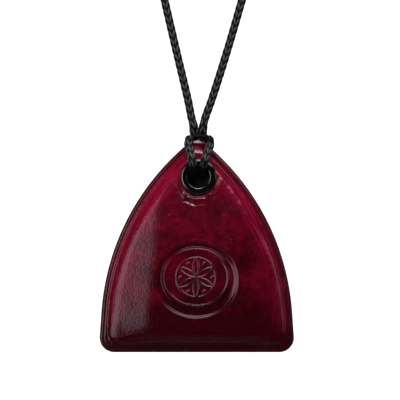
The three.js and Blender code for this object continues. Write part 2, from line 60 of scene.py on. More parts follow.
# Places that the frame fixes, in the case's own axes: the base's middle is the zero point
APEX_Z = 53.332 * MM
EYELET_Z = 43.782 * MM
NECK_Z = EYELET_Z + 13.7 * MM
HELD_RISE = 35.5 * MM
HELD_Z = NECK_Z + HELD_RISE
HELD_LEFT = -9.2 * MM
HELD_RIGHT = 12.8 * MM
HANG_X = 0.4 * MM
HANG_Y = -0.2 * MM
LOOP_LEAN = math.radians(14.5)
LOOP_X = (HELD_LEFT + HELD_RIGHT) / 2
LOOP_RADIUS = (HELD_RIGHT - HELD_LEFT) / 2 / math.cos(LOOP_LEAN)
LOOP_Z = HELD_Z + LOOP_RADIUS * math.sin(LOOP_LEAN)
CORD_RADIUS = 1 * MM
HUNG = np.array([-LOOP_X, -HANG_Y, CORD_RADIUS - LOOP_Z - LOOP_RADIUS])

# Medallion: the ring groove's rim and the disc inside it, both oval
RING = {"x": -0.1 * MM, "z": 18.1 * MM, "a": 10.55 * MM, "b": 9.6 * MM}
DISC = {"x": -0.12 * MM, "z": 18.75 * MM, "a": 8.2 * MM, "b": 7.3 * MM}
GROOVE_INNER_WALL = 0.28
GROOVE_FLOOR = 0.46

# Where the leather is dented round the eyelet, and how wide the dent's wall is below it and on its right
DENT_RADIUS = 4.3 * MM
DENT_FADE = 1 * MM
DENT_FADE_RIGHT = 1.7 * MM

# Points along each part of the outline, from the base's middle to the apex
FINE = {"base": 40, "corner": 12, "flank": 12, "side": 104, "apex": 12}
PLAIN = {"base": 16, "corner": 10, "flank": 6, "side": 48, "apex": 10}
# Insets of the rings of points: over the creased line, up the panel's side, and inside the leather
LINE_INSETS = np.arange(0.86, 1.57, 0.07) * MM
SIDE_INSETS = np.concatenate([np.arange(1.6, 4.9, 0.15), np.arange(5, 7.7, 0.3)]) * MM
INNER_INSETS = np.arange(1.6, 7.7, 0.75) * MM
# An inset past every change of the leather's finish, for its flat back panel and its hidden parts
WELL_INSIDE = 9 * MM


def colour(hex_code):
    """Linear colour of an sRGB hex value such as #64101f."""
    parts = [int(hex_code[i:i + 2], 16) / 255 for i in (1, 3, 5)]
    return tuple(p / 12.92 if p <= 0.04045 else ((p + 0.055) / 1.055) ** 2.4 for p in parts)


def length(name, millimetres, description):
    """A length property whose default is written in millimetres."""
    return FloatProperty(
        name=name, description=description, default=millimetres * MM, unit="LENGTH", precision=5
    )


def number(name, value, description):
    """A plain number property."""
    return FloatProperty(name=name, description=description, default=value)


def angle(name, degrees, description):
    """An angle property whose default is written in degrees."""
    return FloatProperty(name=name, description=description, default=math.radians(degrees), subtype="ANGLE")


def tint(name, hex_code, description):
    """A colour property whose default is an sRGB hex value."""
    return FloatVectorProperty(
        name=name, description=description, default=colour(hex_code), subtype="COLOR", min=0, max=1
    )


class CaseSizes(bpy.types.PropertyGroup):
    """Sizes of the leather case."""

    base_half_width: length("Half Width", 24.55, "Half of the width along the base")
    flank_lean: angle("Flank Lean", 3.96, "How far the straight flanks lean inwards")
    flank_height: length("Flank Height", 10, "Height where the straight flanks end")
    side_radius: length("Side Radius", 60, "Radius of the arched sides")
    corner_radius: length("Corner Radius", 3.7, "Radius of the two lower corners")
    apex_radius: length("Apex Radius", 2, "Radius of the top")
    leather: length("Leather", 1.2, "Thickness of the leather")
    edge_round: length("Edge Round", 0.8, "Radius of the burnished edge at the sides")
    base_round: length("Base Round", 0.3, "Radius of the edge along the base and at the point")
    line_inset: length("Line Inset", 1.08, "Distance of the creased line from the edge")
    line_depth: length("Line Depth", 0.11, "Depth of the creased line")
    step_from: length("Step Start", 1.6, "Distance from the edge where the panel starts to rise")
    step_width: length("Step Width", 3.2, "Width of the panel's rounded side")
    shoulder: number("Shoulder", 2.4, "How early the panel's side bends over")
    ridge_from: length("Ridge From", 2.05, "From the panel's foot to its ridge on the upper right")
    panel_rise: length("Panel Rise", 2.8, "Height of the panel's middle above the margin")
    base_fall: length("Base Fall", 1.7, "How far the panel falls towards the base")
    base_reach: length("Base Reach", 9.5, "Height over which it falls towards the base")
    top_fall: length("Top Fall", 1.2, "How far the panel falls towards the eyelet")
    flat_half: length("Flat Half Width", 8.4, "Half width of the panel's flat middle")
    flat_height: length("Flat Height", 30, "Height where the flat middle has that half width")
    flat_lean: number("Flat Lean", 0.1, "How fast the flat middle widens towards the base")
    knee: length("Knee", 3, "Width over which the panel bends to its side facets")
    side_slope: number("Side Slope", 0.18, "How steeply the panel's side facets fall away")
    least_rise: length("Least Rise", 1.1, "Least height of the panel above the margin")
    tip_from: length("Tip Start", 47, "Height where the panel's side starts to change towards the tip")
    apex_reach: length("Apex Reach", 1.15, "How far below the apex the cord has bent the margin back")
    apex_slope: number("Apex Slope", 0.22, "How steeply it is bent back")
    ridge_blend: length("Ridge Blend", 3, "How widely the ridges between the sides are rounded")
    groove_depth: length("Groove Depth", 0.55, "Depth of the ring groove round the medallion")
    seat_height: length("Seat Height", 2.7, "Height of the eyelet's dented seat")
    back_rise: length("Back Rise", 1.2, "Height of the flat panel on the back")


class EyeletSizes(bpy.types.PropertyGroup):
    """Sizes and place of the eyelet."""

    x: length("Across", HANG_X / MM, "Place across the case")
    z: length("Height", EYELET_Z / MM, "Height above the base")
    bore: length("Bore Radius", 2.75, "Radius of the bore")
    wall: length("Wall", 0.3, "Thickness of the barrel")
    flange: length("Flange Radius", 4.5, "Radius of the domed flange")
    dome: length("Dome", 0.85, "Height of the dome")
    rim: length("Rim", 0.12, "Height of the flange's straight edge")
    roll: length("Roll Radius", 3.8, "Radius of the rolled end inside")
    roll_dome: length("Roll Height", 0.5, "Height of the rolled end inside")
    washer: length("Washer", 0.4, "Thickness of the washer under the rolled end")


class CordSizes(bpy.types.PropertyGroup):
    """Sizes of the braided cord."""

    diameter: length("Diameter", 2.2, "Diameter over the crowns of the plait")
    pitch: length("Plait Pitch", 1.9, "Length of one V of the plait along the cord")
    relief: length("Relief", 0.15, "Depth of the plait's valleys")
    columns: IntProperty(name="Columns", description="Columns of V round the cord", default=4, min=2, max=8)
    rake: number("Rake", 0.85, "How far each stroke of a V climbs, as a share of the pitch")


class PacketSizes(bpy.types.PropertyGroup):
    """Sizes of the folded sheet and of the sleeve round it."""

    width: length("Sleeve Width", 22, "Width and height of the sleeve")
    bottom: length("Bottom", 8, "Height of the sleeve's lower fold above the base")
    front: length("Front", -1.2, "Depth of the sleeve's front face")
    back: length("Back", 0.3, "Depth of the sleeve's back face")
    wall: length("Cloth", 0.15, "Thickness of the waxed cloth")
    paper: length("Paper", 0.1, "Thickness of the paper")
    fold: length("Fold Pitch", 0.2, "Distance from one layer of the sheet to the next")
    layers: IntProperty(name="Layers", description="Layers of the folded sheet", default=5, min=1, max=6)


class Finishes(bpy.types.PropertyGroup):
    """Colours of the finishes."""

    leather_deep: tint("Leather, Deep", "#320006", "Darkest patches of the leather")
    leather_mid: tint("Leather, Middle", "#4e0010", "Main colour of the leather")
    leather_bright: tint("Leather, Bright", "#6c031c", "Pulled-up bright patches of the leather")
    # Painted light in part: the pulled streaks are palest towards the point, where the side is lit from
    # above
    leather_pulled_lit: tint("Leather, Pulled", "#a00d38", "Streaks where the leather is pulled over the side")
    leather_crease: tint("Leather, Crease", "#9c1c44", "Worn tops of the fine creases")
    edge_paint: tint("Edge Paint", "#120408", "Painted cut edge")
    # The flesh side's near black is painted shade in the hollow behind the eyelet
    lining_shade: tint("Lining", "#120608", "Flesh side of the leather")
    enamel: tint("Enamel", "#040404", "Black enamel of the eyelet")
    # The braid's grey crowns are painted sheen and its black valleys painted shade
    braid: tint("Braid", "#686466", "Crowns of the black braid")
    braid_valley_shade: tint("Braid, Valleys", "#020202", "Valleys between the yarns")
    board: tint("Board", "#8a7a62", "Grey-brown pressed board")
    paper: tint("Paper", "#e9e1cc", "Old cream paper")
    waxed: tint("Waxed Cloth", "#b8a86a", "Yellowed waxed cotton")


def ease(t):
    """Smooth step from 0 to 1."""
    t = np.clip(t, 0, 1)
    return t * t * (3 - 2 * t)


def fade(value, none, full):
    """Smooth step that is 0 where the value is none and 1 where it is full."""
    return ease((value - none) / (full - none))


def ridge_at(value, middle, width):
    """A soft ridge: 1 where the value is at the middle, fading over the width."""
    return np.exp(-(((value - middle) / width) ** 2))


def mix(a, b, t):
    """The value a share t of the way from a to b."""
    return a + (b - a) * t


def distances(route):
    """Distance from each point of a route to the next."""
    return np.linalg.norm(np.diff(route, axis=0), axis=1)


def round_at(x, z, radius, turn):
    """Points at a radius from a centre, in the directions given."""
    return np.stack([x + radius * np.cos(turn), z + radius * np.sin(turn)], axis=1)


def side_centre(case):
    """Centre of the circle that the right side follows."""
    lean = case.flank_lean
    x = case.base_half_width - case.flank_height * math.tan(lean) - case.side_radius * math.cos(lean)
    return x, case.flank_height - case.side_radius * math.sin(lean)


def half_outline(case, inset, corner, apex, steps):
    """Points of the right half of the outline, moved in by inset."""
    lean = case.flank_lean
    cos, sin = math.cos(lean), math.sin(lean)
    side_x, side_z = side_centre(case)
    corner_z = inset + corner
    corner_x = (case.base_half_width * cos - inset - corner - sin * corner_z) / cos
    radius = case.side_radius - inset
    apex_z = side_z + math.sqrt((radius - apex) ** 2 - side_x ** 2)
    apex_from = math.atan2(apex_z - side_z, -side_x)
    base = np.linspace(0, corner_x, steps["base"], endpoint=False)
    points = [np.stack([base, np.full_like(base, inset)], axis=1)]
    turn = np.linspace(-math.pi / 2, lean, steps["corner"], endpoint=False)
    points.append(round_at(corner_x, corner_z, corner, turn))
    flank_from = np.array([corner_x + corner * cos, corner_z + corner * sin])
    flank_to = np.array([side_x + radius * cos, side_z + radius * sin])
    share = np.linspace(0, 1, steps["flank"], endpoint=False)[:, None]
    points.append(mix(flank_from, flank_to, share))
    # Towards the apex the points lie closer together
    crowding = 1.5
    crowded = 1 - (1 - np.linspace(0, 1, steps["side"], endpoint=False)) ** crowding
    turn = mix(lean, apex_from, crowded)
    points.append(round_at(side_x, side_z, radius, turn))
    turn = np.linspace(apex_from, math.pi / 2, steps["apex"] + 1)
    points.append(round_at(0, apex_z, apex, turn))
    return np.concatenate(points)


def outline(case, inset, steps, corner=None, apex=None):
    """The whole outline, moved in by inset."""
    least = 0.6 * MM
    corner = max(case.corner_radius - inset if corner is None else corner, least)
    apex = max(case.apex_radius - inset if apex is None else apex, least)
    right = half_outline(case, inset, corner, apex, steps)
    left = right[-2:0:-1] * np.array([-1, 1])
    return np.concatenate([right, left])


def depth_inside(case, x, z, blend=None):
    """How far inside the outline a point lies, with the ridges between the sides rounded off."""
    lean = case.flank_lean
    side_x, side_z = side_centre(case)
    blend = blend or case.ridge_blend

    def soft_min(p, q):
        share = np.clip(0.5 + (q - p) / (2 * blend), 0, 1)
        return mix(q, p, share) - blend * share * (1 - share)

    flank = (case.base_half_width - np.abs(x)) * math.cos(lean) - z * math.sin(lean)
    right = case.side_radius - np.hypot(x - side_x, z - side_z)
    left = case.side_radius - np.hypot(-x - side_x, z - side_z)
    sides = soft_min(right, left)
    sides = np.where(z < case.flank_height, np.minimum(flank, sides), sides)
    return soft_min(sides, z)


def oval_distance(oval, x, z):
    """1 on the oval, less inside it and more outside."""
    return np.hypot((x - oval["x"]) / oval["a"], (z - oval["z"]) / oval["b"])


def groove(case, x, z):
    """Depth of the ring groove at a point of the face, less the bead along the disc's edge."""
    bead_height, bead_inset, bead_width = 0.19 * MM, 0.25 * MM, 0.26 * MM
    outer = np.maximum(1 - oval_distance(RING, x, z), 0) * RING["a"]
    edge = (oval_distance(DISC, x, z) - 1) * DISC["a"]
    inner = np.maximum(edge, 0)
    share = np.where(outer > 0, inner / np.maximum(inner + outer, 1e-9), 1.0)
    near = ease(share / GROOVE_INNER_WALL)
    ramp = np.clip((1 - share) / (1 - GROOVE_FLOOR), 0, 1)
    # The outer wall is an even ramp at the top and twice as steep at the bottom
    below = np.clip((RING["z"] - z) / RING["b"], 0, 1)
    far = mix(mix(ramp, ease(ramp), 0.45), ease(2 * ramp), ease(1.2 * below))
    bead = bead_height * ridge_at(edge, -bead_inset, bead_width)
    return case.groove_depth * np.where(share < GROOVE_INNER_WALL, near, far) - bead


def round_eyelet(eyelet, x, z):
    """Distance from the eyelet's middle, and direction in degrees: 0 is down and 90 is to the right."""
    turn = np.degrees(np.arctan2(x - eyelet.x, eyelet.z - z))
    return np.hypot(x - eyelet.x, z - eyelet.z), turn


def right_of(turn):
    """0 below and left of the eyelet, 1 on its right."""
    return fade(turn, 30, 65)


def front_step(case, eyelet, x, z):
    """Share of the panel's height that the front has reached, from 0 on the margin to 1 on the panel."""
    depth = depth_inside(case, x, z)
    share = np.clip((depth - case.step_from) / case.step_width, 0, 1)
    side = 1 - (1 - share) ** case.shoulder
    # On the upper right the leather is folded over a sharp ridge instead of a round shoulder
    ridge_round = 0.18
    climb = np.clip((depth - case.step_from) / case.ridge_from, 0, None)
    ridge = np.clip((climb + 1 - np.hypot(climb - 1, ridge_round)) / 2, 0, 1)
    folded = fade(x, 1 * MM, 5 * MM) * fade(z, 27 * MM, 34 * MM)
    step = mix(side, ridge, folded) * ease(4 * share)
    # Between the hitch's legs it rises straight across: a short wall, then an even slope
    wall_z, wall_tilt, wall_width, wall_share = 50.9 * MM, 0.16, 0.4 * MM, 0.86
    slope_from, slope_width = 0.35 * MM, 1.05 * MM
    below = wall_z - z - wall_tilt * (x - eyelet.x)
    steep = 1 - np.clip(1 - below / wall_width, 0, 1) ** 2
    gentle = np.clip((below - slope_from) / slope_width, 0, 1)
    sharp_depth = depth_inside(case, x, z, 0.2 * MM)
    across = mix(gentle, steep, wall_share) * fade(sharp_depth, case.step_from, case.step_from + 0.35 * MM)
    tip = fade(z, case.tip_from, case.tip_from + 1.6 * MM)
    tip *= fade(np.abs(x - eyelet.x), 3.3 * MM, 2.1 * MM)
    return mix(step, across, tip)


def front_height(case, eyelet, x, z):
    """Height of the moulded front above the seam: a flat middle, side facets and a rounded side."""
    rounding = 0.3 * MM
    base = case.base_fall * np.clip(1 - (z - case.step_from) / case.base_reach, 0, 1) ** 2
    top = case.top_fall * fade(z, 24 * MM, 46 * MM)
    beyond = np.abs(x) - case.flat_half - case.flat_lean * (case.flat_height - z)
    bend = np.clip(beyond / case.knee, 0, 1) ** 2 * case.knee / 2 + np.maximum(beyond - case.knee, 0)
    rise = case.panel_rise - base - top - case.side_slope * bend
    over = rise - case.least_rise
    rise = case.least_rise + (over + np.hypot(over, rounding)) / 2
    panel = case.leather + front_step(case, eyelet, x, z) * rise - groove(case, x, z)
    away, turn = round_eyelet(eyelet, x, z)
    wall = mix(DENT_FADE, DENT_FADE_RIGHT, right_of(turn))
    dented = np.minimum(panel, case.seat_height)
    return mix(dented, panel, fade(away, DENT_RADIUS, DENT_RADIUS + wall))


def apex_roll(case, z):
    """How far the cord has bent the margin back at that height: evenly, then in a curve to the edge."""
    curve_reach, curve_depth = 0.35 * MM, 0.2 * MM
    even = np.maximum(z - APEX_Z + case.apex_reach, 0)
    last = np.clip((z - APEX_Z) / curve_reach + 1, 0, 1)
    return case.apex_slope * even + curve_depth * last ** 2


def noise_at(*places):
    """Smooth noise from -1 to 1 at each point, given by its three coordinates."""
    spots = np.broadcast_arrays(*places)
    return np.array([noise.noise(spot) for spot in zip(*spots)])


def creases(case, eyelet, x, z):
    """Soft folds that the eyelet's pressing leaves in the leather, and a broken crest on its right."""
    fold_width, fold_fade, sway = 0.34 * MM, 14, 0.5 * MM
    # Radius, middle direction in degrees from straight down, half spread in degrees, height
    folds = (
        (5.2 * MM, -20, 50, -0.08 * MM),
        (5.9 * MM, -14, 40, 0.07 * MM),
        (6.7 * MM, -30, 30, -0.07 * MM),
        (7.6 * MM, -6, 26, 0.05 * MM),
    )
    away, turn = round_eyelet(eyelet, x, z)
    away = away + sway * noise_at(turn / 14, 5.2, 0.0)
    total = np.zeros_like(x)
    for radius, middle, spread, height in folds:
        shown = fade(np.abs(turn - middle), spread, spread - fold_fade)
        total += height * ridge_at(away, radius, fold_width) * shown
    # The swollen rim hugs the eyelet below and spreads out on its right
    rim_height, rim_turn = 0.16 * MM, 15
    right = right_of(turn)
    rim = ridge_at(away, mix(5.25 * MM, 5.9 * MM, right), mix(0.75 * MM, 1 * MM, right))
    total += rim_height * rim * fade(np.abs(turn - rim_turn), 120, 70)
    # Small wrinkles lie on the rim
    wrinkle_height, wrinkle_turn = 0.06 * MM, -8
    wrinkle = noise_at(turn / 9, away / (0.55 * MM), 2.4)
    ruffled = fade(away, 4.5 * MM, 5.1 * MM) * fade(away, 7 * MM, 5.2 * MM)
    total += wrinkle_height * wrinkle * ruffled * fade(np.abs(turn - wrinkle_turn), 75, 45)
    # The crest of the fold on the upper right is broken by cross wrinkles
    crest_height, broken = 0.16 * MM, noise_at(x / (2.2 * MM), 0.0, z / (0.7 * MM))
    crest = ridge_at(depth_inside(case, x, z), 3.75 * MM, 0.3 * MM) * (x > 1 * MM)
    crest = crest * fade(z, 30 * MM, 39 * MM) * fade(z, 48.5 * MM, 46.5 * MM)
    return total + crest_height * crest * broken


def unevenness(x, z):
    """Low waves of the pulled leather."""
    long_wave, long_height = 11 * MM, 0.05 * MM
    short_wave, short_height = 3.6 * MM, 0.022 * MM
    slow = long_height * noise_at(x / long_wave, z / long_wave, 3.1)
    return slow + short_height * noise_at(x / short_wave, z / short_wave, 8.7)


def rosette(x, z):
    """A six-petalled rosette in raised lines, with a ring round it and a dot between petals."""
    reach, line, height = 4.9 * MM, 0.2 * MM, 0.2 * MM
    petals, dot_reach, dot_radius = 6, 4 * MM, 0.18 * MM
    px, pz = x - DISC["x"], z - DISC["z"]
    out = np.hypot(px, pz)
    away = np.abs(out - reach)
    for k in range(petals):
        turn = FULL_TURN * k / petals
        arc = np.abs(np.hypot(px - reach * math.sin(turn), pz - reach * math.cos(turn)) - reach)
        away = np.minimum(away, np.where(out < reach, arc, 1.0))
        turn += FULL_TURN / petals / 2
        dot = np.hypot(px - dot_reach * math.sin(turn), pz - dot_reach * math.cos(turn))
        away = np.minimum(away, np.maximum(dot - dot_radius, 0))
    return height * ridge_at(away, 0, line)


def deselect():
    """Leaves nothing selected, the frame's nodes included."""
    if bpy.context.mode != "OBJECT":
        bpy.ops.object.mode_set(mode="OBJECT")
    bpy.ops.object.select_all(action="DESELECT")


def choose(piece):
    """Selects one piece only and makes it the active one."""
    deselect()
    piece.select_set(True)
    bpy.context.view_layer.objects.active = piece


def close_up(piece, gap=1e-7):
    """Merges a mesh's meeting points and turns its faces outwards."""
    choose(piece)
    bpy.ops.object.mode_set(mode="EDIT")
    bpy.ops.mesh.select_all(action="SELECT")
    bpy.ops.mesh.remove_doubles(threshold=gap)
    bpy.ops.mesh.normals_make_consistent(inside=False)
    bpy.ops.object.mode_set(mode="OBJECT")
    bpy.ops.object.shade_smooth()


def harden(piece, degrees):
    """Leaves only the edges sharp that bend by more than an angle."""
    choose(piece)
    bpy.ops.object.shade_smooth_by_angle(angle=math.radians(degrees))


def grid_of(name, places):
    """A new piece: a grid whose points lie at the places given, row by row."""
    rows, columns = places.shape[:2]
    deselect()
    bpy.ops.mesh.primitive_grid_add(x_subdivisions=columns - 1, y_subdivisions=rows - 1, size=1)
    piece = bpy.context.object
    piece.name = name
    piece.data.name = name
    piece.data.vertices.foreach_set("co", (places + HUNG).reshape(-1).astype(np.float32))
    piece.data.update()
    return piece


def closed(rows):
    """Rows whose first column is repeated at their end."""
    return np.concatenate([rows, rows[:, :1]], axis=1)


def wrapped_grid(name, rings, values):
    """A grid wrapped round into a closed skin: each row of the grid becomes one ring of points.
    values holds named numbers for each point, kept as attributes."""
    piece = grid_of(name, closed(rings))
    for label, numbers in values.items():
        layer = piece.data.attributes.new(label, "FLOAT", "POINT")
        layer.data.foreach_set("value", closed(numbers).reshape(-1).astype(np.float32))
    close_up(piece)
    return piece


def bore_through(piece, x, z, radius, sides):
    """Bores a round hole through a piece from front to back."""
    deselect()
    bpy.ops.mesh.primitive_cylinder_add(
        vertices=sides,
        radius=radius,
        depth=20 * MM,
        location=(x + HUNG[0], HUNG[1], z + HUNG[2]),
        rotation=(math.pi / 2, 0, 0),
    )
    tool = bpy.context.object
    choose(piece)
    modifier = piece.modifiers.new("bore", "BOOLEAN")
    modifier.operation = "DIFFERENCE"
    modifier.solver = "EXACT"
    modifier.object = tool
    bpy.ops.object.modifier_apply(modifier=modifier.name)
    bpy.data.objects.remove(tool)


def finish_piece(piece, node, slot, *materials):
    """Gives a piece of the case its materials and its body, and hides the imported part of the node that it
    stands for. The slot is not used.
    """
    for material in materials:
        piece.data.materials.append(material)
    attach(piece, "pendant")
    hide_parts(node)


def add(tree, kind, inputs=(), stops=(), **settings):
    """Adds a node with its settings and inputs. The inputs are named, numbered or in order, and each is
    a value, an output, or a node whose first output is meant. Stops are a ramp's places and shades."""
    node = tree.nodes.new(f"ShaderNode{kind}")
    for key, value in settings.items():
        setattr(node, key, value)
    if stops:
        elements = node.color_ramp.elements
        while len(elements) < len(stops):
            elements.new(0.5)
        for element, (place, shade) in zip(elements, stops):
            element.position = place
            element.color = (shade, shade, shade, 1) if isinstance(shade, float) else (*shade, 1)
    for key, value in inputs.items() if isinstance(inputs, dict) else enumerate(inputs):
        if isinstance(value, bpy.types.Node):
            value = value.outputs[0]
        if isinstance(value, bpy.types.NodeSocket):
            tree.links.new(value, node.inputs[key])
        else:
            node.inputs[key].default_value = value
    return node


def made_of(name, surface, *choices, **sizes):
    """The material of that name, whose nodes a function adds when it is first asked for."""
    material = bpy.data.materials.get(name)
    if not material:
        material = bpy.data.materials.new(name)
        material.use_nodes = True
        tree = material.node_tree
        tree.nodes.clear()
        add(tree, "OutputMaterial", (surface(tree, *choices, **sizes),))
    return material


def waxed_calf_leather(tree, finishes):
    """Waxed, hand-coloured calf leather: cloudy burgundy with painted shade along the base, towards the
    right and in the medallion's groove; lighter where it was pulled over the panel's side, with painted
    light there strongest towards the point; a crinkled grain that breaks its gloss, fine worn creases,
    and a black painted cut edge."""
    place = add(tree, "TexCoord").outputs["Object"]
    spot = add(tree, "SeparateXYZ", (place,))
    x, z, base = spot.outputs["X"], spot.outputs["Z"], float(HUNG[2])
    # Cloudy colour: patches of about 5 mm with finer ones in them
    clouds = {"Vector": place, "Scale": 1 / (5 * MM), "Detail": 6, "Roughness": 0.6, "Distortion": 0.6}
    cloud = add(tree, "TexNoise", clouds)
    # Painted shade: darker along the base and towards the right, as if lit from the upper left, and darker
    # still in the medallion's groove and on its disc
    base_shade = add(tree, "MapRange", (z, base + 1 * MM, base + 17 * MM, -0.43, 0.07))
    right = add(tree, "MapRange", (x, -4 * MM, 14 * MM, 0.0, -0.085))
    shaded = add(tree, "Math", (base_shade, right), operation="ADD")
    groove_shade = add(tree, "Attribute", attribute_name="groove_shade").outputs["Fac"]
    darker = add(tree, "Math", (groove_shade, -0.24, shaded), operation="MULTIPLY_ADD")
    mottle = add(tree, "TexNoise", {"Vector": place, "Scale": 1 / (1.4 * MM), "Detail": 3})
    spread = add(tree, "Math", (mottle, 0.4, -0.2), operation="MULTIPLY_ADD")
    mottled = add(tree, "Math", (cloud, spread), operation="ADD")
    shaded_mottle = add(tree, "Math", (mottled, darker), operation="ADD")
    tones = ((0.3, finishes.leather_deep), (0.5, finishes.leather_mid), (0.72, finishes.leather_bright))
    tone = add(tree, "ValToRGB", (shaded_mottle,), tones)
    # Stretch: the panel's side is paler, in streaks 0.5 mm wide along the edge; the inset is in millimetres
    inset = add(tree, "Attribute", attribute_name="inset").outputs["Fac"]
    along = add(tree, "Attribute", attribute_name="along").outputs["Fac"]
    streak_across = add(tree, "Math", (inset, 2.0), operation="MULTIPLY")
    streak_along = add(tree, "Math", (along, 0.12), operation="MULTIPLY")
    streak_side = add(tree, "Math", (x, 60.0), operation="MULTIPLY")
    pulled = add(tree, "CombineXYZ", (streak_across, streak_along, streak_side))
    streak = add(tree, "TexNoise", {"Vector": pulled, "Scale": 1.0, "Detail": 3})
    broken = add(tree, "MapRange", (streak, 0.35, 0.65, 0.2, 1.0))
    centimetres = add(tree, "Math", (inset, 10.0), operation="DIVIDE")
    pulls = ((0.05, 0.4), (0.14, 0.55), (0.21, 0.9), (0.36, 0.9), (0.6, 0.25), (0.95, 0.0))
    stretch = add(tree, "ValToRGB", (centimetres,), pulls)
    # Painted light as well: the paleness is strongest round the point and faint along the base, as the side
    # is lit from above
    raised = add(tree, "MapRange", (z, base, base + 50 * MM))
    lit_from_above = add(tree, "ValToRGB", (raised,), ((0.1, 0.08), (0.18, 0.45), (0.55, 0.62), (0.85, 1.0)))
    lit_streaks = add(tree, "Math", (broken, lit_from_above), operation="MULTIPLY")
    pulled_and_lit = add(tree, "Math", (stretch, lit_streaks), operation="MULTIPLY")
    paler_and_lit = add(tree, "Mix", {0: pulled_and_lit, 6: tone, 7: (*finishes.leather_pulled_lit, 1)}, data_type="RGBA")
    # Fine creases: wavy lines a few millimetres apart that show only in patches
    flatter = add(tree, "VectorMath", (place, (0.7, 1.0, 1.3)), operation="MULTIPLY")
    waves = {"Vector": flatter, "Scale": 1 / (6.5 * MM), "Detail": 3, "Roughness": 0.55, "Distortion": 1.6}
    wave = add(tree, "TexNoise", waves)
    off = add(tree, "Math", (wave, 0.5), operation="SUBTRACT")
    near = add(tree, "Math", (off,), operation="ABSOLUTE")
    line = add(tree, "MapRange", (near, 0.0, 0.016, 1.0, 0.0), interpolation_type="SMOOTHSTEP")
    patch = add(tree, "TexNoise", {"Vector": place, "Scale": 1 / (6 * MM), "Detail": 2})
    shown = add(tree, "MapRange", (patch, 0.36, 0.58, 0.0, 0.55))
    faint = add(tree, "Math", (line, shown), operation="MULTIPLY")
    above = add(tree, "MapRange", (raised, 0.3, 0.62, 0.15, 1.0))
    crease = add(tree, "Math", (faint, above), operation="MULTIPLY")
    creased = {0: crease, 6: paler_and_lit.outputs[2], 7: (*finishes.leather_crease, 1)}
    worn = add(tree, "Mix", creased, data_type="RGBA")
    # Painted edge: black for a third of a millimetre, then a little darker, and darker again along the
    # creased line
    margin = add(tree, "Math", (inset, 2.0), operation="DIVIDE")
    paints = (
        (0.0, 1.0),
        (0.13, 0.95),
        (0.2, 0.3),
        (0.4, 0.25),
        (0.48, 0.55),
        (0.56, 0.55),
        (0.66, 0.15),
        (1.0, 0.0),
    )
    paint = add(tree, "ValToRGB", (margin,), paints)
    edged = {0: paint, 6: worn.outputs[2], 7: (*finishes.edge_paint, 1)}
    painted = add(tree, "Mix", edged, data_type="RGBA")
    # Crinkled grain: cells of 0.9 mm, drawn out up and down, with finer ones of 0.4 mm in them
    cell_width, pore_width = 0.9 * MM, 0.4 * MM
    bend = add(tree, "TexNoise", {"Vector": place, "Scale": 1 / (1.5 * MM), "Detail": 2})
    wander = (cell_width, cell_width, cell_width)
    bent = add(tree, "VectorMath", (bend.outputs["Color"], wander, place), operation="MULTIPLY_ADD")
    drawn = add(tree, "VectorMath", (bent, (1.0, 1.0, 0.42)), operation="MULTIPLY")
    cell = add(tree, "TexVoronoi", {"Vector": drawn, "Scale": 1 / cell_width}, feature="DISTANCE_TO_EDGE")
    valley = add(tree, "MapRange", (cell, 0.0, 0.16, 0.0, 1.0), interpolation_type="SMOOTHSTEP")
    pore = add(tree, "TexNoise", {"Vector": drawn, "Scale": 1 / pore_width, "Detail": 3, "Roughness": 0.6})
    grain = add(tree, "Math", (pore, 1.2, valley), operation="MULTIPLY_ADD")
    # The flat middle was pressed smooth, so that the grain is strong only towards the sides
    sidewards = add(tree, "Math", (x,), operation="ABSOLUTE")
    kept = add(tree, "MapRange", (sidewards, 7 * MM, 13 * MM, 0.2, 0.8), interpolation_type="SMOOTHSTEP")
    uneven = add(tree, "MapRange", (patch, 0.35, 0.65, 0.5, 1.0))
    strength = add(tree, "Math", (kept, uneven), operation="MULTIPLY")
    bump = add(tree, "Bump", {"Strength": strength, "Distance": 0.02 * MM, "Height": grain})
    # The handled edge is duller than the panel, except at the point, which the cord has polished
    gloss = add(tree, "MapRange", (cloud, 0.3, 0.7, 0.2, 0.13))
    dull = add(tree, "MapRange", (inset, 0.4, 2.8, 0.25, 0.12))
    unpolished = add(tree, "MapRange", (z, base + 48.5 * MM, base + 50 * MM, 1.0, 0.3))
    handled = add(tree, "Math", (dull, unpolished), operation="MULTIPLY")
    rough = add(tree, "Math", (gloss, handled), operation="MAXIMUM")
    surface = {
        "Base Color": painted.outputs[2],
        "Roughness": rough,
        "IOR": 1.5,
        "Specular Tint": (1.0, 0.78, 0.96, 1),
        "Normal": bump,
    }
    return add(tree, "BsdfPrincipled", surface)


def flesh_side_painted_shade(tree, finishes):
    """The rough inner side of the leather, painted almost black as painted shade in the hollow behind the
    eyelet, with no gloss.
    """
    place = add(tree, "TexCoord").outputs["Object"]
    nap = add(tree, "TexNoise", {"Vector": place, "Scale": 1 / (0.4 * MM), "Detail": 3})
    shades = {0: nap, 6: (*finishes.lining_shade, 1), 7: (*finishes.edge_paint, 1)}
    tone = add(tree, "Mix", shades, data_type="RGBA")
    bump = add(tree, "Bump", {"Strength": 0.4, "Distance": 0.1 * MM, "Height": nap})
    return add(tree, "BsdfPrincipled", {"Base Color": tone.outputs[2], "Roughness": 0.9, "Normal": bump})


def stove_enamel(tree, finishes):
    """Stove enamel on pressed metal: deep black, a clear hard gloss, and a faint orange peel."""
    place = add(tree, "TexCoord").outputs["Object"]
    peel = add(tree, "TexNoise", {"Vector": place, "Scale": 1 / (1.2 * MM), "Detail": 1})
    bump = add(tree, "Bump", {"Strength": 0.05, "Distance": 0.1 * MM, "Height": peel})
    surface = {
        "Base Color": (*finishes.enamel, 1),
        "Roughness": add(tree, "MapRange", (peel, 0.0, 1.0, 0.06, 0.14)),
        "IOR": 1.6,
        "Coat Weight": 1.0,
        "Coat Roughness": 0.05,
        "Normal": bump,
    }
    return add(tree, "BsdfPrincipled", surface)


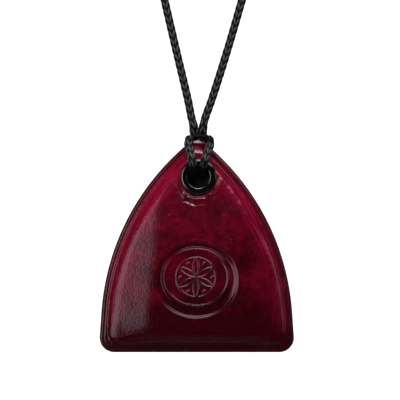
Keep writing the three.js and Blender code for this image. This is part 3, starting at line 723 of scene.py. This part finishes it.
def black_polyester_braid(tree, finishes):
    """Braided polyester yarn: black, with a soft gleam, grey crowns as painted sheen and black valleys as
    painted shade.
    """
    crown = add(tree, "Attribute", attribute_name="crown").outputs["Fac"]
    place = add(tree, "TexCoord").outputs["Object"]
    # Filaments are far finer than a pixel, so they are drawn at 0.12 mm
    fibre = add(tree, "TexNoise", {"Vector": place, "Scale": 1 / (0.12 * MM), "Detail": 2})
    # Painted light: the crowns are grey for painted sheen and the valleys black for painted shade
    shades = ((0.4, finishes.braid_valley_shade), (1.0, finishes.braid))
    surface = {
        "Base Color": add(tree, "ValToRGB", (crown,), shades),
        "Roughness": 0.55,
        "IOR": 1.53,
        "Specular IOR Level": 0.12,
        "Normal": add(tree, "Bump", {"Strength": 0.2, "Distance": 0.04 * MM, "Height": fibre}),
    }
    return add(tree, "BsdfPrincipled", surface)


def plain_fibre(tree, shade, grain, rough):
    """Board, paper and waxed cloth: a speckled matt sheet with a grain of a given size."""
    place = add(tree, "TexCoord").outputs["Object"]
    speck = add(tree, "TexNoise", {"Vector": place, "Scale": 1 / grain, "Detail": 4})
    darker = tuple(0.7 * part for part in shade)
    tone = add(tree, "ValToRGB", (speck,), ((0.3, darker), (0.7, shade)))
    bump = add(tree, "Bump", {"Strength": 0.3, "Distance": 0.1 * MM, "Height": speck})
    return add(tree, "BsdfPrincipled", {"Base Color": tone, "Roughness": rough, "Normal": bump})


def ring_at(points, y):
    """A ring of points in the plane of that depth."""
    return np.stack([points[:, 0], np.broadcast_to(y, len(points)), points[:, 1]], axis=1)


def oval_ring(oval, scale, like):
    """A ring on an oval, with points in the same directions as those of an outline."""
    turn = np.arctan2((like[:, 1] - oval["z"]) / oval["b"], (like[:, 0] - oval["x"]) / oval["a"])
    x = oval["x"] + scale * oval["a"] * np.cos(turn)
    return np.stack([x, oval["z"] + scale * oval["b"] * np.sin(turn)], axis=1)


def face_rings(case, insets, steps, toward, groove_steps, disc_steps):
    """Flat rings from an inset outline in to the middle of the medallion."""
    rings = [outline(case, inset, steps) for inset in insets]
    last = rings[-1]
    rim, edge = oval_ring(RING, 1, last), oval_ring(DISC, 1, last)
    rings += [mix(last, rim, t) for t in np.linspace(0, 1, toward + 1)[1:]]
    rings += [mix(rim, edge, t) for t in np.linspace(0, 1, groove_steps + 1)[1:]]
    rings += [oval_ring(DISC, t, last) for t in np.linspace(1, 0, disc_steps + 1)[1:]]
    return rings


def margin_line(case, inset):
    """Depth of the creased line that runs round the margin."""
    return case.line_depth * ridge_at(inset, case.line_inset, 0.2 * MM)


class AMULET_OT_front_cover(bpy.types.Operator):
    """Moulds the leather front with its margin, panel, medallion and dented eyelet seat"""

    bl_idname = "amulet.front_cover"
    bl_label = "Front Cover"

    def execute(self, context):
        case, eyelet = context.scene.amulet_case, context.scene.amulet_eyelet
        rings, insets, groove_shade = [], [], []

        # Each ring carries its inset and its share of painted shade in the medallion
        def push(points, y, inset, shade_share=0.0):
            rings.append(ring_at(points, y))
            insets.append(np.broadcast_to(inset / MM, len(points)))
            groove_shade.append(np.broadcast_to(shade_share, len(points)))

        inner = face_rings(case, INNER_INSETS, FINE, toward=12, groove_steps=8, disc_steps=4)
        for points in reversed(inner):
            hollow = np.maximum(front_height(case, eyelet, *points.T) - case.leather, 0)
            push(points, -hollow, WELL_INSIDE)
        edge = outline(case, 0, FINE)
        push(edge, 0, 0)
        # The edge is rounder at the sides than along the base and at the point
        for turn in np.linspace(0, math.pi / 2, 10):
            inset = case.edge_round * (1 - math.cos(turn))
            points = outline(case, inset, FINE)
            z = points[:, 1]
            sideways = fade(z, 1 * MM, 5 * MM) * fade(z, APEX_Z - 1.2 * MM, APEX_Z - 4.2 * MM)
            radius = mix(case.base_round, case.edge_round, sideways)
            short = np.clip(radius - inset, 0, radius)
            y = radius - np.sqrt(radius ** 2 - short ** 2) - case.leather
            push(points, y + apex_roll(case, z), inset)
        # The creased line fades out at the base and the point, and is pressed less deep on the right
        right_share = 0.25
        for inset in LINE_INSETS:
            points = outline(case, inset, FINE)
            x, z = points.T
            pressed = fade(z, 0, 6 * MM) * fade(z, APEX_Z - 2 * MM, APEX_Z - 5 * MM)
            pressed *= mix(1, right_share, fade(x, 0, 4 * MM))
            y = pressed * margin_line(case, inset) - case.leather
            push(points, y + apex_roll(case, z), inset)
        # Painted shade in the groove, except on its lit right side, and less of it on the disc
        disc_shade = 0.37
        for points in face_rings(case, SIDE_INSETS, FINE, toward=60, groove_steps=24, disc_steps=60):
            x, z = points.T
            depth = depth_inside(case, x, z)
            height = front_height(case, eyelet, x, z) - apex_roll(case, z) + rosette(x, z)
            panel = fade(depth, 2.2 * MM, 4.2 * MM)
            height += panel * (creases(case, eyelet, x, z) + unevenness(x, z))
            shade_share = np.clip(groove(case, x, z) / case.groove_depth, 0, 1)
            shade_share *= 1 - fade((x - RING["x"]) / RING["a"], 0.45, 0.85)
            shade_share = np.maximum(shade_share, disc_shade * fade(oval_distance(DISC, x, z), 1, 0.92))
            push(points, -height, np.maximum(depth, case.step_from), shade_share)
        steps = distances(np.concatenate([edge, edge[:1]]))
        along = np.concatenate([[0], np.cumsum(steps)[:-1]])
        along = np.minimum(along, steps.sum() - along) / MM
        marks = {
            "inset": np.array(insets),
            "groove_shade": np.array(groove_shade),
            "along": np.broadcast_to(along, (len(rings), len(along))),
        }
        cover = wrapped_grid("front_cover_leather", np.array(rings), marks)
        clearance = 0.1 * MM
        bore_through(cover, eyelet.x, eyelet.z, eyelet.bore + eyelet.wall + clearance, sides=96)
        leather = made_of("waxed_calf_leather", waxed_calf_leather, context.scene.amulet_finishes)
        finish_piece(cover, "front_cover", "case_leather", leather)
        return {"FINISHED"}


class AMULET_OT_back_cover(bpy.types.Operator):
    """Makes the leather back with its flat panel and the slot for the cord"""

    bl_idname = "amulet.back_cover"
    bl_label = "Back Cover"

    def execute(self, context):
        case = context.scene.amulet_case
        foot, top_inset, top_radius, corner = 4.6 * MM, 6.4 * MM, 14 * MM, 2.4 * MM
        slot_radius = 0.74 * MM
        rings, insets = [], []

        def push(points, y, inset):
            rings.append(ring_at(points, y))
            insets.append(np.full(len(points), inset / MM))

        def panel(inset):
            further = inset - top_inset
            return outline(case, inset, PLAIN, corner - further, top_radius - further)

        middle = np.array([0, RING["z"]])
        top = panel(top_inset)
        for t in np.linspace(0, 1, 14):
            push(mix(middle, top, t), case.leather + case.back_rise, WELL_INSIDE)
        for t in np.linspace(0, 1, 9)[1:]:
            height = case.leather + case.back_rise * (1 - float(ease(t)))
            push(panel(mix(top_inset, foot, t)), height, 4 * MM)
        start, last = panel(foot), outline(case, 2 * MM, PLAIN)
        for t in np.linspace(0, 1, 8)[1:]:
            push(mix(start, last, t), case.leather, 3 * MM)
        for inset in np.arange(1.5, 0.85, -0.1) * MM:
            push(outline(case, inset, PLAIN), case.leather - margin_line(case, inset), inset)
        for turn in np.linspace(math.pi / 2, 0, 6):
            inset = case.edge_round * (1 - math.cos(turn))
            push(outline(case, inset, PLAIN), case.leather - case.edge_round * (1 - math.sin(turn)), inset)
        push(outline(case, 0, PLAIN), 0, 0)
        push(outline(case, 1.2 * MM, PLAIN), 0, 1 * MM)
        push(panel(foot), 0, WELL_INSIDE)
        push(panel(top_inset), case.back_rise, WELL_INSIDE)
        push(mix(middle, top, 0), case.back_rise, WELL_INSIDE)
        cover = wrapped_grid("back_cover_leather", np.array(rings), {"inset": np.array(insets)})
        for side in (-1, 1):
            bore_through(cover, HANG_X + side * PASS_X, EYELET_Z + PASS_RISE, slot_radius, sides=40)
        finishes = context.scene.amulet_finishes
        leather = made_of("waxed_calf_leather", waxed_calf_leather, finishes)
        flesh = made_of("flesh_side_painted_shade", flesh_side_painted_shade, finishes)
        finish_piece(cover, "back_cover", "case_leather", leather, flesh)
        # Faces of the hollow that look forwards show the flesh side, painted near black as painted shade
        # behind the eyelet
        forwards, inside = -0.4, HUNG[1] + case.back_rise + 0.01 * MM
        for face in cover.data.polygons:
            hidden = face.normal.y < forwards and face.center.y < inside
            face.material_index = 1 if hidden else 0
        return {"FINISHED"}


def bulge(start, stop, y, rise, steps, first=2.0, last=2.0):
    """Half an oval of a profile from one radius to another, as pairs of radius and depth. A higher
    power makes that half of it squarer."""
    turn = np.linspace(0, math.pi, steps + 1)
    power = np.where(turn < math.pi / 2, first, last)
    across = np.sign(np.cos(turn)) * np.abs(np.cos(turn)) ** (2 / power)
    height = np.abs(np.sin(turn)) ** (2 / power)
    return np.stack([mix(start, stop, (1 - across) / 2), y + rise * height], axis=1)


class AMULET_OT_eyelet(bpy.types.Operator):
    """Spins the domed eyelet"""

    bl_idname = "amulet.eyelet"
    bl_label = "Eyelet"

    def execute(self, context):
        case, size = context.scene.amulet_case, context.scene.amulet_eyelet
        outer = size.bore + size.wall
        under = case.leather - case.seat_height + size.washer
        seat = -case.seat_height
        dome = bulge(size.bore, size.flange, seat - size.rim, -size.dome, steps=56, first=5, last=2.8)
        barrel = [[size.flange, seat], [outer, seat], [outer, under]]
        rolled = bulge(size.roll, size.bore, under, size.roll_dome, steps=12)
        profile = np.concatenate([dome, barrel, rolled])
        place = Vector((size.x + HUNG[0], HUNG[1], size.z + HUNG[2]))
        deselect()
        bpy.ops.mesh.primitive_circle_add(vertices=len(profile), radius=1)
        eyelet = context.object
        eyelet.name = "eyelet_enamel"
        eyelet.data.name = "eyelet_enamel"
        for vertex, (radius, y) in zip(eyelet.data.vertices, profile):
            vertex.co = place + Vector((radius, y, 0))
        eyelet.data.update()
        bpy.ops.object.mode_set(mode="EDIT")
        bpy.ops.mesh.select_all(action="SELECT")
        bpy.ops.mesh.spin(steps=96, angle=FULL_TURN, center=place, axis=(0, 1, 0))
        close_up(eyelet, 1e-6)
        harden(eyelet, degrees=50)
        enamel = made_of("stove_enamel", stove_enamel, context.scene.amulet_finishes)
        finish_piece(eyelet, "eyelet", "black_enamel", enamel)
        return {"FINISHED"}


# Route of the cord: across from the eyelet's middle, depth, and height above that middle
STRAND_GAP = 1.42 * MM
STRAND_SPREAD = 0.27
NECK_Y = 0.9 * MM
PASS_X = 1.1 * MM
PASS_RISE = 0.9 * MM
TAIL = [
    (1.42, 0.9, 13.7),
    (1.2, 1.0, 12.7),
    (1.1, 1.45, 11.5),
    (1.1, 2.15, 10.3),
    (1.1, 2.5, 8.8),
    (1.1, 2.6, 6.7),
    (1.1, 2.6, 4.6),
    (1.1, 2.55, 2.8),
    (1.1, 2.1, 1.5),
    (1.1, 1.1, 0.9),
    (1.1, -0.1, 0.85),
    (1.1, -1.4, 0.85),
    (1.1, -2.7, 1.0),
    (1.15, -3.95, 1.4),
    (1.27, -4.85, 2.4),
]
BIGHT = [
    (1.5, -5.15, 3.7),
    (1.95, -4.65, 5.2),
    (2.45, -3.75, 6.5),
    (2.8, -3.1, 7.6),
    (2.92, -2.75, 8.5),
    (2.68, -2.55, 9.4),
    (1.9, -2.4, 10.05),
    (0.75, -2.35, 10.3),
    (-0.5, -2.35, 10.35),
    (-1.55, -2.4, 10.15),
    (-2.2, -2.55, 9.55),
    (-2.45, -2.8, 8.6),
    (-2.38, -3.15, 7.6),
    (-2.1, -3.8, 6.4),
    (-1.75, -4.65, 5.1),
    (-1.45, -5.15, 3.7),
]
# Points of each strand: across, and height above the neck
LEFT_BOW = [(-2.2, 5.5), (-5.16, 18), (-8.06, 30.5)]
RIGHT_BOW = [(3.7, 5.5), (7.66, 18), (11.31, 30.5)]
KNOT_TURNS = 3
KNOT_PITCH = 3.1 * MM
KNOT_FROM = math.radians(24)
WRAP_RADIUS = 2.3 * MM
HELD_TURN = -LOOP_LEAN + (CORD_RADIUS + 0.3 * MM) / LOOP_RADIUS
KNOT_TO = KNOT_FROM + KNOT_TURNS * KNOT_PITCH / LOOP_RADIUS


def smooth_route(points, spacing=0.16 * MM):
    """An evenly spaced route along a centripetal spline through the points."""
    points = [np.array(p, float) for p in points]
    points = [2 * points[0] - points[1], *points, 2 * points[-1] - points[-2]]
    fine = []
    for p0, p1, p2, p3 in zip(points, points[1:], points[2:], points[3:]):
        t1 = math.sqrt(np.linalg.norm(p1 - p0))
        t2 = t1 + math.sqrt(np.linalg.norm(p2 - p1))
        t3 = t2 + math.sqrt(np.linalg.norm(p3 - p2))
        for t in np.linspace(t1, t2, 40, endpoint=False):
            a1 = mix(p0, p1, t / t1)
            a2 = mix(p1, p2, (t - t1) / (t2 - t1))
            a3 = mix(p2, p3, (t - t2) / (t3 - t2))
            b1 = mix(a1, a2, t / t2)
            b2 = mix(a2, a3, (t - t1) / (t3 - t1))
            fine.append(mix(b1, b2, (t - t1) / (t2 - t1)))
    fine = np.array([*fine, points[-2]])
    along = np.concatenate([[0], np.cumsum(distances(fine))])
    even = np.linspace(0, along[-1], max(int(along[-1] / spacing), 8))
    return np.stack([np.interp(even, along, fine[:, k]) for k in range(3)], axis=1)


def plait(cord, around, along):
    """Height of the plait from 0 in the valleys to 1 on the crowns, round and along the cord.
    The yarns lie in columns of V, one of which faces the front."""
    half = np.abs((cord.columns * around / FULL_TURN + 0.5) % 1 - 0.5) * 2
    stroke = (along / cord.pitch - cord.rake * half) % 1
    # A stroke is a little lower at its ends, where it dips under the next column
    dip = 0.08
    ends = np.sin(math.pi * (dip + (1 - 2 * dip) * half))
    return np.sin(math.pi * stroke) ** 0.9 * ends ** 0.8


def braided_cord(context, name, route, press=None, painted_shade=None):
    """A tube along the route whose surface is plaited. press gives each point of the route the shares
    by which the cord is stretched across, front to back and up and down, and the last argument how far
    painted shade darkens it."""
    cord = context.scene.amulet_cord
    sides = 40
    ahead = np.gradient(route, axis=0)
    ahead /= np.linalg.norm(ahead, axis=1)[:, None]
    out = np.array([0.0, 1.0, 0.0])
    outs = []
    for direction in ahead:
        out = out - direction * out.dot(direction)
        out = out / np.linalg.norm(out)
        outs.append(out)
    outs = np.array(outs)
    others = np.cross(ahead, outs)
    along = np.concatenate([[0], np.cumsum(distances(route))])
    around = np.linspace(0, FULL_TURN, sides, endpoint=False)
    crown = plait(cord, around[None, :], along[:, None])
    radius = cord.diameter / 2 - cord.relief * (1 - crown)
    cos, sin = np.cos(around)[None, :, None], np.sin(around)[None, :, None]
    spokes = cos * outs[:, None] + sin * others[:, None]
    if press is not None:
        spokes *= press[:, None]
    # Painted shade lowers the colour of the crowns where the cord lies in shade
    if painted_shade is not None:
        crown = crown * (1 - painted_shade[:, None])
    first = np.repeat(route[:1], sides, axis=0)[None]
    last = np.repeat(route[-1:], sides, axis=0)[None]
    flat = np.ones((1, sides))
    rings = np.concatenate([first, route[:, None] + radius[:, :, None] * spokes, last])
    piece = wrapped_grid(name, rings, {"crown": np.concatenate([flat, crown, flat])})
    return piece, route + HUNG


def braid(context):
    """The material of every cord."""
    return made_of("black_polyester_braid", black_polyester_braid, context.scene.amulet_finishes)


def bend_between(context, piece, node):
    """Gives a cord that bends from one body to the next its braid, fixes its place in its points, and hides
    the imported part of its node.
    """
    piece.data.materials.append(braid(context))
    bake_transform(piece)
    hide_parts(node)


class AMULET_OT_strands(bpy.types.Operator):
    """Braids the two strands of the V, from the hitch to the held line"""

    bl_idname = "amulet.strands"
    bl_label = "Strands"

    def execute(self, context):
        for name, side, bow, held in (
            ("left_strand", -1, LEFT_BOW, HELD_LEFT),
            ("right_strand", 1, RIGHT_BOW, HELD_RIGHT),
        ):
            points = []
            for rise in (0, 1.2 * MM):
                points.append((HANG_X + side * (STRAND_GAP + STRAND_SPREAD * rise), NECK_Y, NECK_Z + rise))
            for x, rise in bow:
                depth = mix(NECK_Y, HANG_Y, rise * MM / HELD_RISE)
                points.append((x * MM, depth, NECK_Z + rise * MM))
            points.append((held, HANG_Y, HELD_Z))
            piece, route = braided_cord(context, f"{name}_braid", smooth_route(points))
            bend_between(context, piece, name)
        return {"FINISHED"}


class AMULET_OT_hitch(bpy.types.Operator):
    """Braids the hitch: the tails down the back, through slot and eyelet, and the bight over the front"""

    bl_idname = "amulet.hitch"
    bl_label = "Hitch"

    def execute(self, context):
        right, bight, left = (
            [(HANG_X + side * x * MM, y * MM, EYELET_Z + z * MM) for x, y, z in points]
            for side, points in ((1, TAIL), (1, BIGHT), (-1, TAIL[::-1]))
        )
        route = smooth_route([*right, *bight, *left])
        x, y, z = route.T
        # The bar over the top is pulled down and pressed flat by the load
        bar_drop, bar_back, bar_flat = 0.2 * MM, 0.9 * MM, 0.36
        pressed = fade(z, EYELET_Z + 9.3 * MM, EYELET_Z + 10 * MM) * (y < 0)
        z -= bar_drop * pressed
        y += bar_back * pressed
        above, in_front = z - EYELET_Z, y < 0
        # Its two legs are pressed against the leather, and the tails against each other above the bar
        leg = fade(-y, 2.2 * MM, 3 * MM) * (1 - pressed)
        squeezed = fade(above, 10.5 * MM, 11.5 * MM) * fade(above, 13.6 * MM, 12.1 * MM) * (y > 0)
        leg_wide, leg_flat, tail_wide = 0.02, 0.06, 0.1
        wider = 1 + leg_wide * leg + tail_wide * squeezed
        press = np.stack([wider, 1 - leg_flat * leg, 1 - bar_flat * pressed], axis=1)
        # Painted shade darkens it where it goes into the eyelet, along the bar, and a little further down
        # at the bar's right end
        rim_shade, bar_shade, end_shade = 0.5, 0.6, 0.55
        painted_shade = np.maximum(rim_shade * fade(above, 4.5 * MM, 2 * MM) * in_front, bar_shade * pressed)
        further = fade(above, 7.6 * MM, 8.8 * MM) * in_front * (x > HANG_X)
        painted_shade = np.maximum(painted_shade, end_shade * further)
        piece, route = braided_cord(context, "cord_hitch_braid", route, press, painted_shade)
        finish_piece(piece, "cord_hitch", "black_braid", braid(context))
        return {"FINISHED"}


def loop_point(turn, out=0.0, back=0.0):
    """A point of the top loop at an angle, moved out and back."""
    radius = LOOP_RADIUS + out
    return (LOOP_X + radius * math.cos(turn), HANG_Y + back, LOOP_Z + radius * math.sin(turn))


class AMULET_OT_top_loop(bpy.types.Operator):
    """Braids the held loop and the knot that closes it"""

    bl_idname = "amulet.top_loop"
    bl_label = "Top Loop and Knot"

    def execute(self, context):
        steps, per_turn = 14, 12
        points = [(HELD_LEFT, HANG_Y, HELD_Z)]
        for i in range(steps + 1):
            points.append(loop_point(mix(math.pi - HELD_TURN, KNOT_FROM - 0.08, i / steps)))
        points.append(loop_point(KNOT_FROM - 0.3, 1 * MM, 1.2 * MM))
        points.append(loop_point(KNOT_FROM - 0.5, 2.6 * MM, 1.9 * MM))
        points.append(loop_point(KNOT_FROM - 0.68, 4.4 * MM, 2.2 * MM))
        loop, route = braided_cord(context, "top_loop_braid", smooth_route(points))
        points = [
            (HELD_RIGHT, HANG_Y, HELD_Z),
            loop_point(HELD_TURN),
            loop_point(mix(HELD_TURN, KNOT_FROM, 0.3), -0.6 * MM, -0.2 * MM),
            loop_point(mix(HELD_TURN, KNOT_FROM, 0.62), -1.9 * MM, -0.7 * MM),
        ]
        for i in range(-1, KNOT_TURNS * per_turn + 1):
            wound = FULL_TURN * i / per_turn
            turn = mix(KNOT_FROM, KNOT_TO, i / (KNOT_TURNS * per_turn))
            points.append(loop_point(turn, WRAP_RADIUS * math.sin(wound), -WRAP_RADIUS * math.cos(wound)))
        knot, _ = braided_cord(context, "closing_knot_braid", smooth_route(points))
        for piece, node in ((loop, "top_loop"), (knot, "closing_knot")):
            bend_between(context, piece, node)
        return {"FINISHED"}


def folded_strip(name, profile, width, thickness):
    """A sheet of even thickness, drawn out across the case from its side view."""
    columns = 8
    across = np.linspace(-width / 2, width / 2, columns + 1)
    piece = grid_of(name, np.array([[(x, y, z) for x in across] for y, z in profile]))
    close_up(piece)
    shell = piece.modifiers.new("thickness", "SOLIDIFY")
    shell.thickness = thickness
    shell.offset = 0
    bpy.ops.object.modifier_apply(modifier=shell.name)
    close_up(piece)
    harden(piece, degrees=40)
    return piece


def arc(centre, radius, start, stop, steps=8):
    """Points of an arc in the side view, in degrees from the back towards the top."""
    turn = np.radians(np.linspace(start, stop, steps + 1))
    return list(round_at(*centre, radius, turn))


class AMULET_OT_contents(bpy.types.Operator):
    """Folds the sheet, wraps its sleeve round it, and finishes the boards and the washer"""

    bl_idname = "amulet.contents"
    bl_label = "Contents"

    def execute(self, context):
        finishes, packet = context.scene.amulet_finishes, context.scene.amulet_packet
        board = made_of("grey_pulp_board", plain_fibre, finishes.board, grain=0.6 * MM, rough=0.9)
        enamel = made_of("stove_enamel", stove_enamel, finishes)
        for node, material in (
            ("front_former", board),
            ("medallion_disc", board),
            ("back_board", board),
            ("eyelet_washer", enamel),
        ):
            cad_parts[node].data.materials.clear()
            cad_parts[node].data.materials.append(material)

        # The sleeve is one turn of cloth with rounded folds
        round_off, half_wall = 0.35 * MM, packet.wall / 2
        top = packet.bottom + packet.width
        front, back = packet.front + half_wall + round_off, packet.back - half_wall - round_off
        low, high = packet.bottom + half_wall + round_off, top - half_wall - round_off
        side = [
            *arc((back, high), round_off, 0, 90),
            *arc((front, high), round_off, 90, 180),
            *arc((front, low), round_off, 180, 270),
            *arc((back, low), round_off, 270, 360),
        ]
        side.append(side[0])
        sleeve = folded_strip("waxed_sleeve", side, packet.width, packet.wall)
        waxed = made_of("waxed_cotton", plain_fibre, finishes.waxed, grain=0.5 * MM, rough=0.5)
        finish_piece(sleeve, "waxed_wrap", "waxed_cloth", waxed)

        # The sheet runs up and down, with a round fold at each turn
        end_gap, side_gap, front_gap = 0.6 * MM, 0.7 * MM, 0.15 * MM
        low, high = packet.bottom + end_gap, top - end_gap
        first = packet.front + packet.wall + front_gap + packet.paper / 2
        side = []
        for layer in range(packet.layers):
            y = first + layer * packet.fold
            ends = (low, high) if layer % 2 == 0 else (high, low)
            side += [(y, ends[0]), (y, ends[1])]
            if layer + 1 < packet.layers:
                to = 0 if layer % 2 == 0 else 360
                side += arc((y + packet.fold / 2, ends[1]), packet.fold / 2, 180, to)[1:-1]
        width = packet.width - 2 * side_gap
        sheet = folded_strip("folded_sheet", side, width, packet.paper)
        paper = made_of("old_paper", plain_fibre, finishes.paper, grain=1.5 * MM, rough=0.85)
        finish_piece(sheet, "prayer_sheet", "prayer_paper", paper)
        return {"FINISHED"}


def stage_paper(tree, glow, kinds):
    """Pale paper that also glows for the kinds of ray named."""
    path = add(tree, "LightPath")
    seen = path.outputs[kinds[0]]
    for kind in kinds[1:]:
        seen = add(tree, "Math", (seen, path.outputs[kind]), operation="MAXIMUM")
    strength = add(tree, "Math", (seen, glow), operation="MULTIPLY")
    pale = add(tree, "BsdfDiffuse", {"Color": (*colour("#e6e6e6"), 1)})
    light = add(tree, "Emission", {"Color": (1, 1, 1, 1), "Strength": strength})
    return add(tree, "AddShader", (pale, light))


def stage_plane(name, size, place, turn, glow, kinds):
    """A plane of the stage, covered in paper."""
    deselect()
    bpy.ops.mesh.primitive_plane_add(size=size, location=place, rotation=turn)
    plane = bpy.context.object
    plane.name = name
    plane.data.materials.append(made_of(f"{name}_paper", stage_paper, glow=glow, kinds=kinds))


# Lamps: direction from the case, distance, width, height, and radiance of the face, where white paper in
# plain light is 1. The left ones draw the band down the left side and the front strip the folds below the
# eyelet. The right box lights the ridge on the upper right, and the right fill the panel's foot below it.
LAMPS = {
    "top_box": ((0.11, -0.41, 0.91), 1.0, 0.95, 0.42, 4.3),
    "upper_left_box": ((-0.32, -0.46, 0.83), 1.0, 0.4, 0.4, 2.4),
    "right_box": ((0.49, -0.59, 0.64), 1.0, 0.5, 0.42, 2.9),
    "left_box": ((-0.63, -0.775, -0.05), 1.0, 0.54, 0.8, 1.55),
    "left_halo": ((-0.6, -0.8, -0.05), 1.02, 0.82, 0.8, 0.6),
    "right_fill": ((0.94, -0.32, 0.1), 1.0, 0.25, 0.5, 1.2),
    "front_strip": ((0.02, -0.906, 0.423), 1.0, 0.2, 0.1, 14),
}


def soft_box(name, centre, direction, distance, width, height, radiance):
    """A studio lamp that looks at the centre from a direction."""
    lamp = bpy.data.lights.new(name, "AREA")
    lamp.shape = "RECTANGLE"
    lamp.size, lamp.size_y = width, height
    lamp.energy = radiance * math.pi * width * height
    item = bpy.data.objects.new(name, lamp)
    item.location = centre + Vector(direction).normalized() * distance
    item.rotation_euler = (centre - item.location).to_track_quat("-Z", "Y").to_euler()
    bpy.context.scene.collection.objects.link(item)


class AMULET_OT_stage(bpy.types.Operator):
    """Sets the camera, the soft studio light, the pale floor and the white backdrop"""

    bl_idname = "amulet.stage"
    bl_label = "Stage"

    def execute(self, context):
        scene = context.scene
        scene.view_settings.view_transform = "Standard"
        centre = Vector((0.8 * MM + HUNG[0], HUNG[1], 38 * MM + HUNG[2]))
        distance, view_width, sensor = 0.6, 100 * MM, 36
        camera = bpy.data.cameras.new("camera")
        camera.sensor_width = sensor
        camera.lens = sensor * distance / view_width
        item = bpy.data.objects.new("camera", camera)
        item.location = centre + Vector((0, -distance, 0))
        item.rotation_euler = (math.pi / 2, 0, 0)
        scene.collection.objects.link(item)
        scene.camera = item
        world = bpy.data.worlds.new("studio")
        scene.world = world
        world.use_nodes = True
        tree = world.node_tree
        tree.nodes.clear()
        # What the camera sees, what lights matt surfaces, and what glossy ones mirror
        path = add(tree, "LightPath")
        white, fill, dim = (add(tree, "Background", ((1, 1, 1, 1), glow)) for glow in (1, 0.08, 0.02))
        light = add(tree, "MixShader", (path.outputs["Is Diffuse Ray"], dim, fill))
        shown = add(tree, "MixShader", (path.outputs["Is Camera Ray"], light, white))
        add(tree, "OutputWorld", (shown,))
        seen = ("Is Camera Ray", "Is Glossy Ray", "Is Transmission Ray")
        floor_drop, wall_back, upright = 2.6, 1.6, (math.pi / 2, 0, 0)
        stage_plane("floor", 6, (0, 0, centre.z - floor_drop), (0, 0, 0), glow=0.5, kinds=seen[:1])
        stage_plane("backdrop", 4, (0, wall_back, centre.z), upright, glow=1, kinds=seen)
        for name, setting in LAMPS.items():
            soft_box(name, centre, *setting)
        return {"FINISHED"}


class AMULET_PT_panel(bpy.types.Panel):
    """Lists the pieces of the pendant"""

    bl_idname = "AMULET_PT_panel"
    bl_label = "Amulet Pendant"
    bl_space_type = "VIEW_3D"
    bl_region_type = "UI"
    bl_category = "Amulet"

    def draw(self, context):
        for step in STEPS:
            self.layout.operator(step.bl_idname)


STEPS = (
    AMULET_OT_stage,
    AMULET_OT_strands,
    AMULET_OT_hitch,
    AMULET_OT_top_loop,
    AMULET_OT_front_cover,
    AMULET_OT_back_cover,
    AMULET_OT_eyelet,
    AMULET_OT_contents,
)
GROUPS = {
    "amulet_case": CaseSizes,
    "amulet_eyelet": EyeletSizes,
    "amulet_cord": CordSizes,
    "amulet_packet": PacketSizes,
    "amulet_finishes": Finishes,
}


def register():
    """Registers the sizes, the operators and the panel."""
    for label, group in GROUPS.items():
        bpy.utils.register_class(group)
        setattr(bpy.types.Scene, label, PointerProperty(type=group))
    for item in (*STEPS, AMULET_PT_panel):
        bpy.utils.register_class(item)


def unregister():
    """Takes them away again."""
    for item in reversed((*STEPS, AMULET_PT_panel)):
        bpy.utils.unregister_class(item)
    for label, group in reversed(list(GROUPS.items())):
        delattr(bpy.types.Scene, label)
        bpy.utils.unregister_class(group)


def main():
    """Builds every piece in order."""
    register()
    bpy.ops.amulet.stage()
    bpy.ops.amulet.strands()
    bpy.ops.amulet.hitch()
    bpy.ops.amulet.top_loop()
    bpy.ops.amulet.front_cover()
    bpy.ops.amulet.back_cover()
    bpy.ops.amulet.eyelet()
    bpy.ops.amulet.contents()


if __name__ == "__main__":
    main()
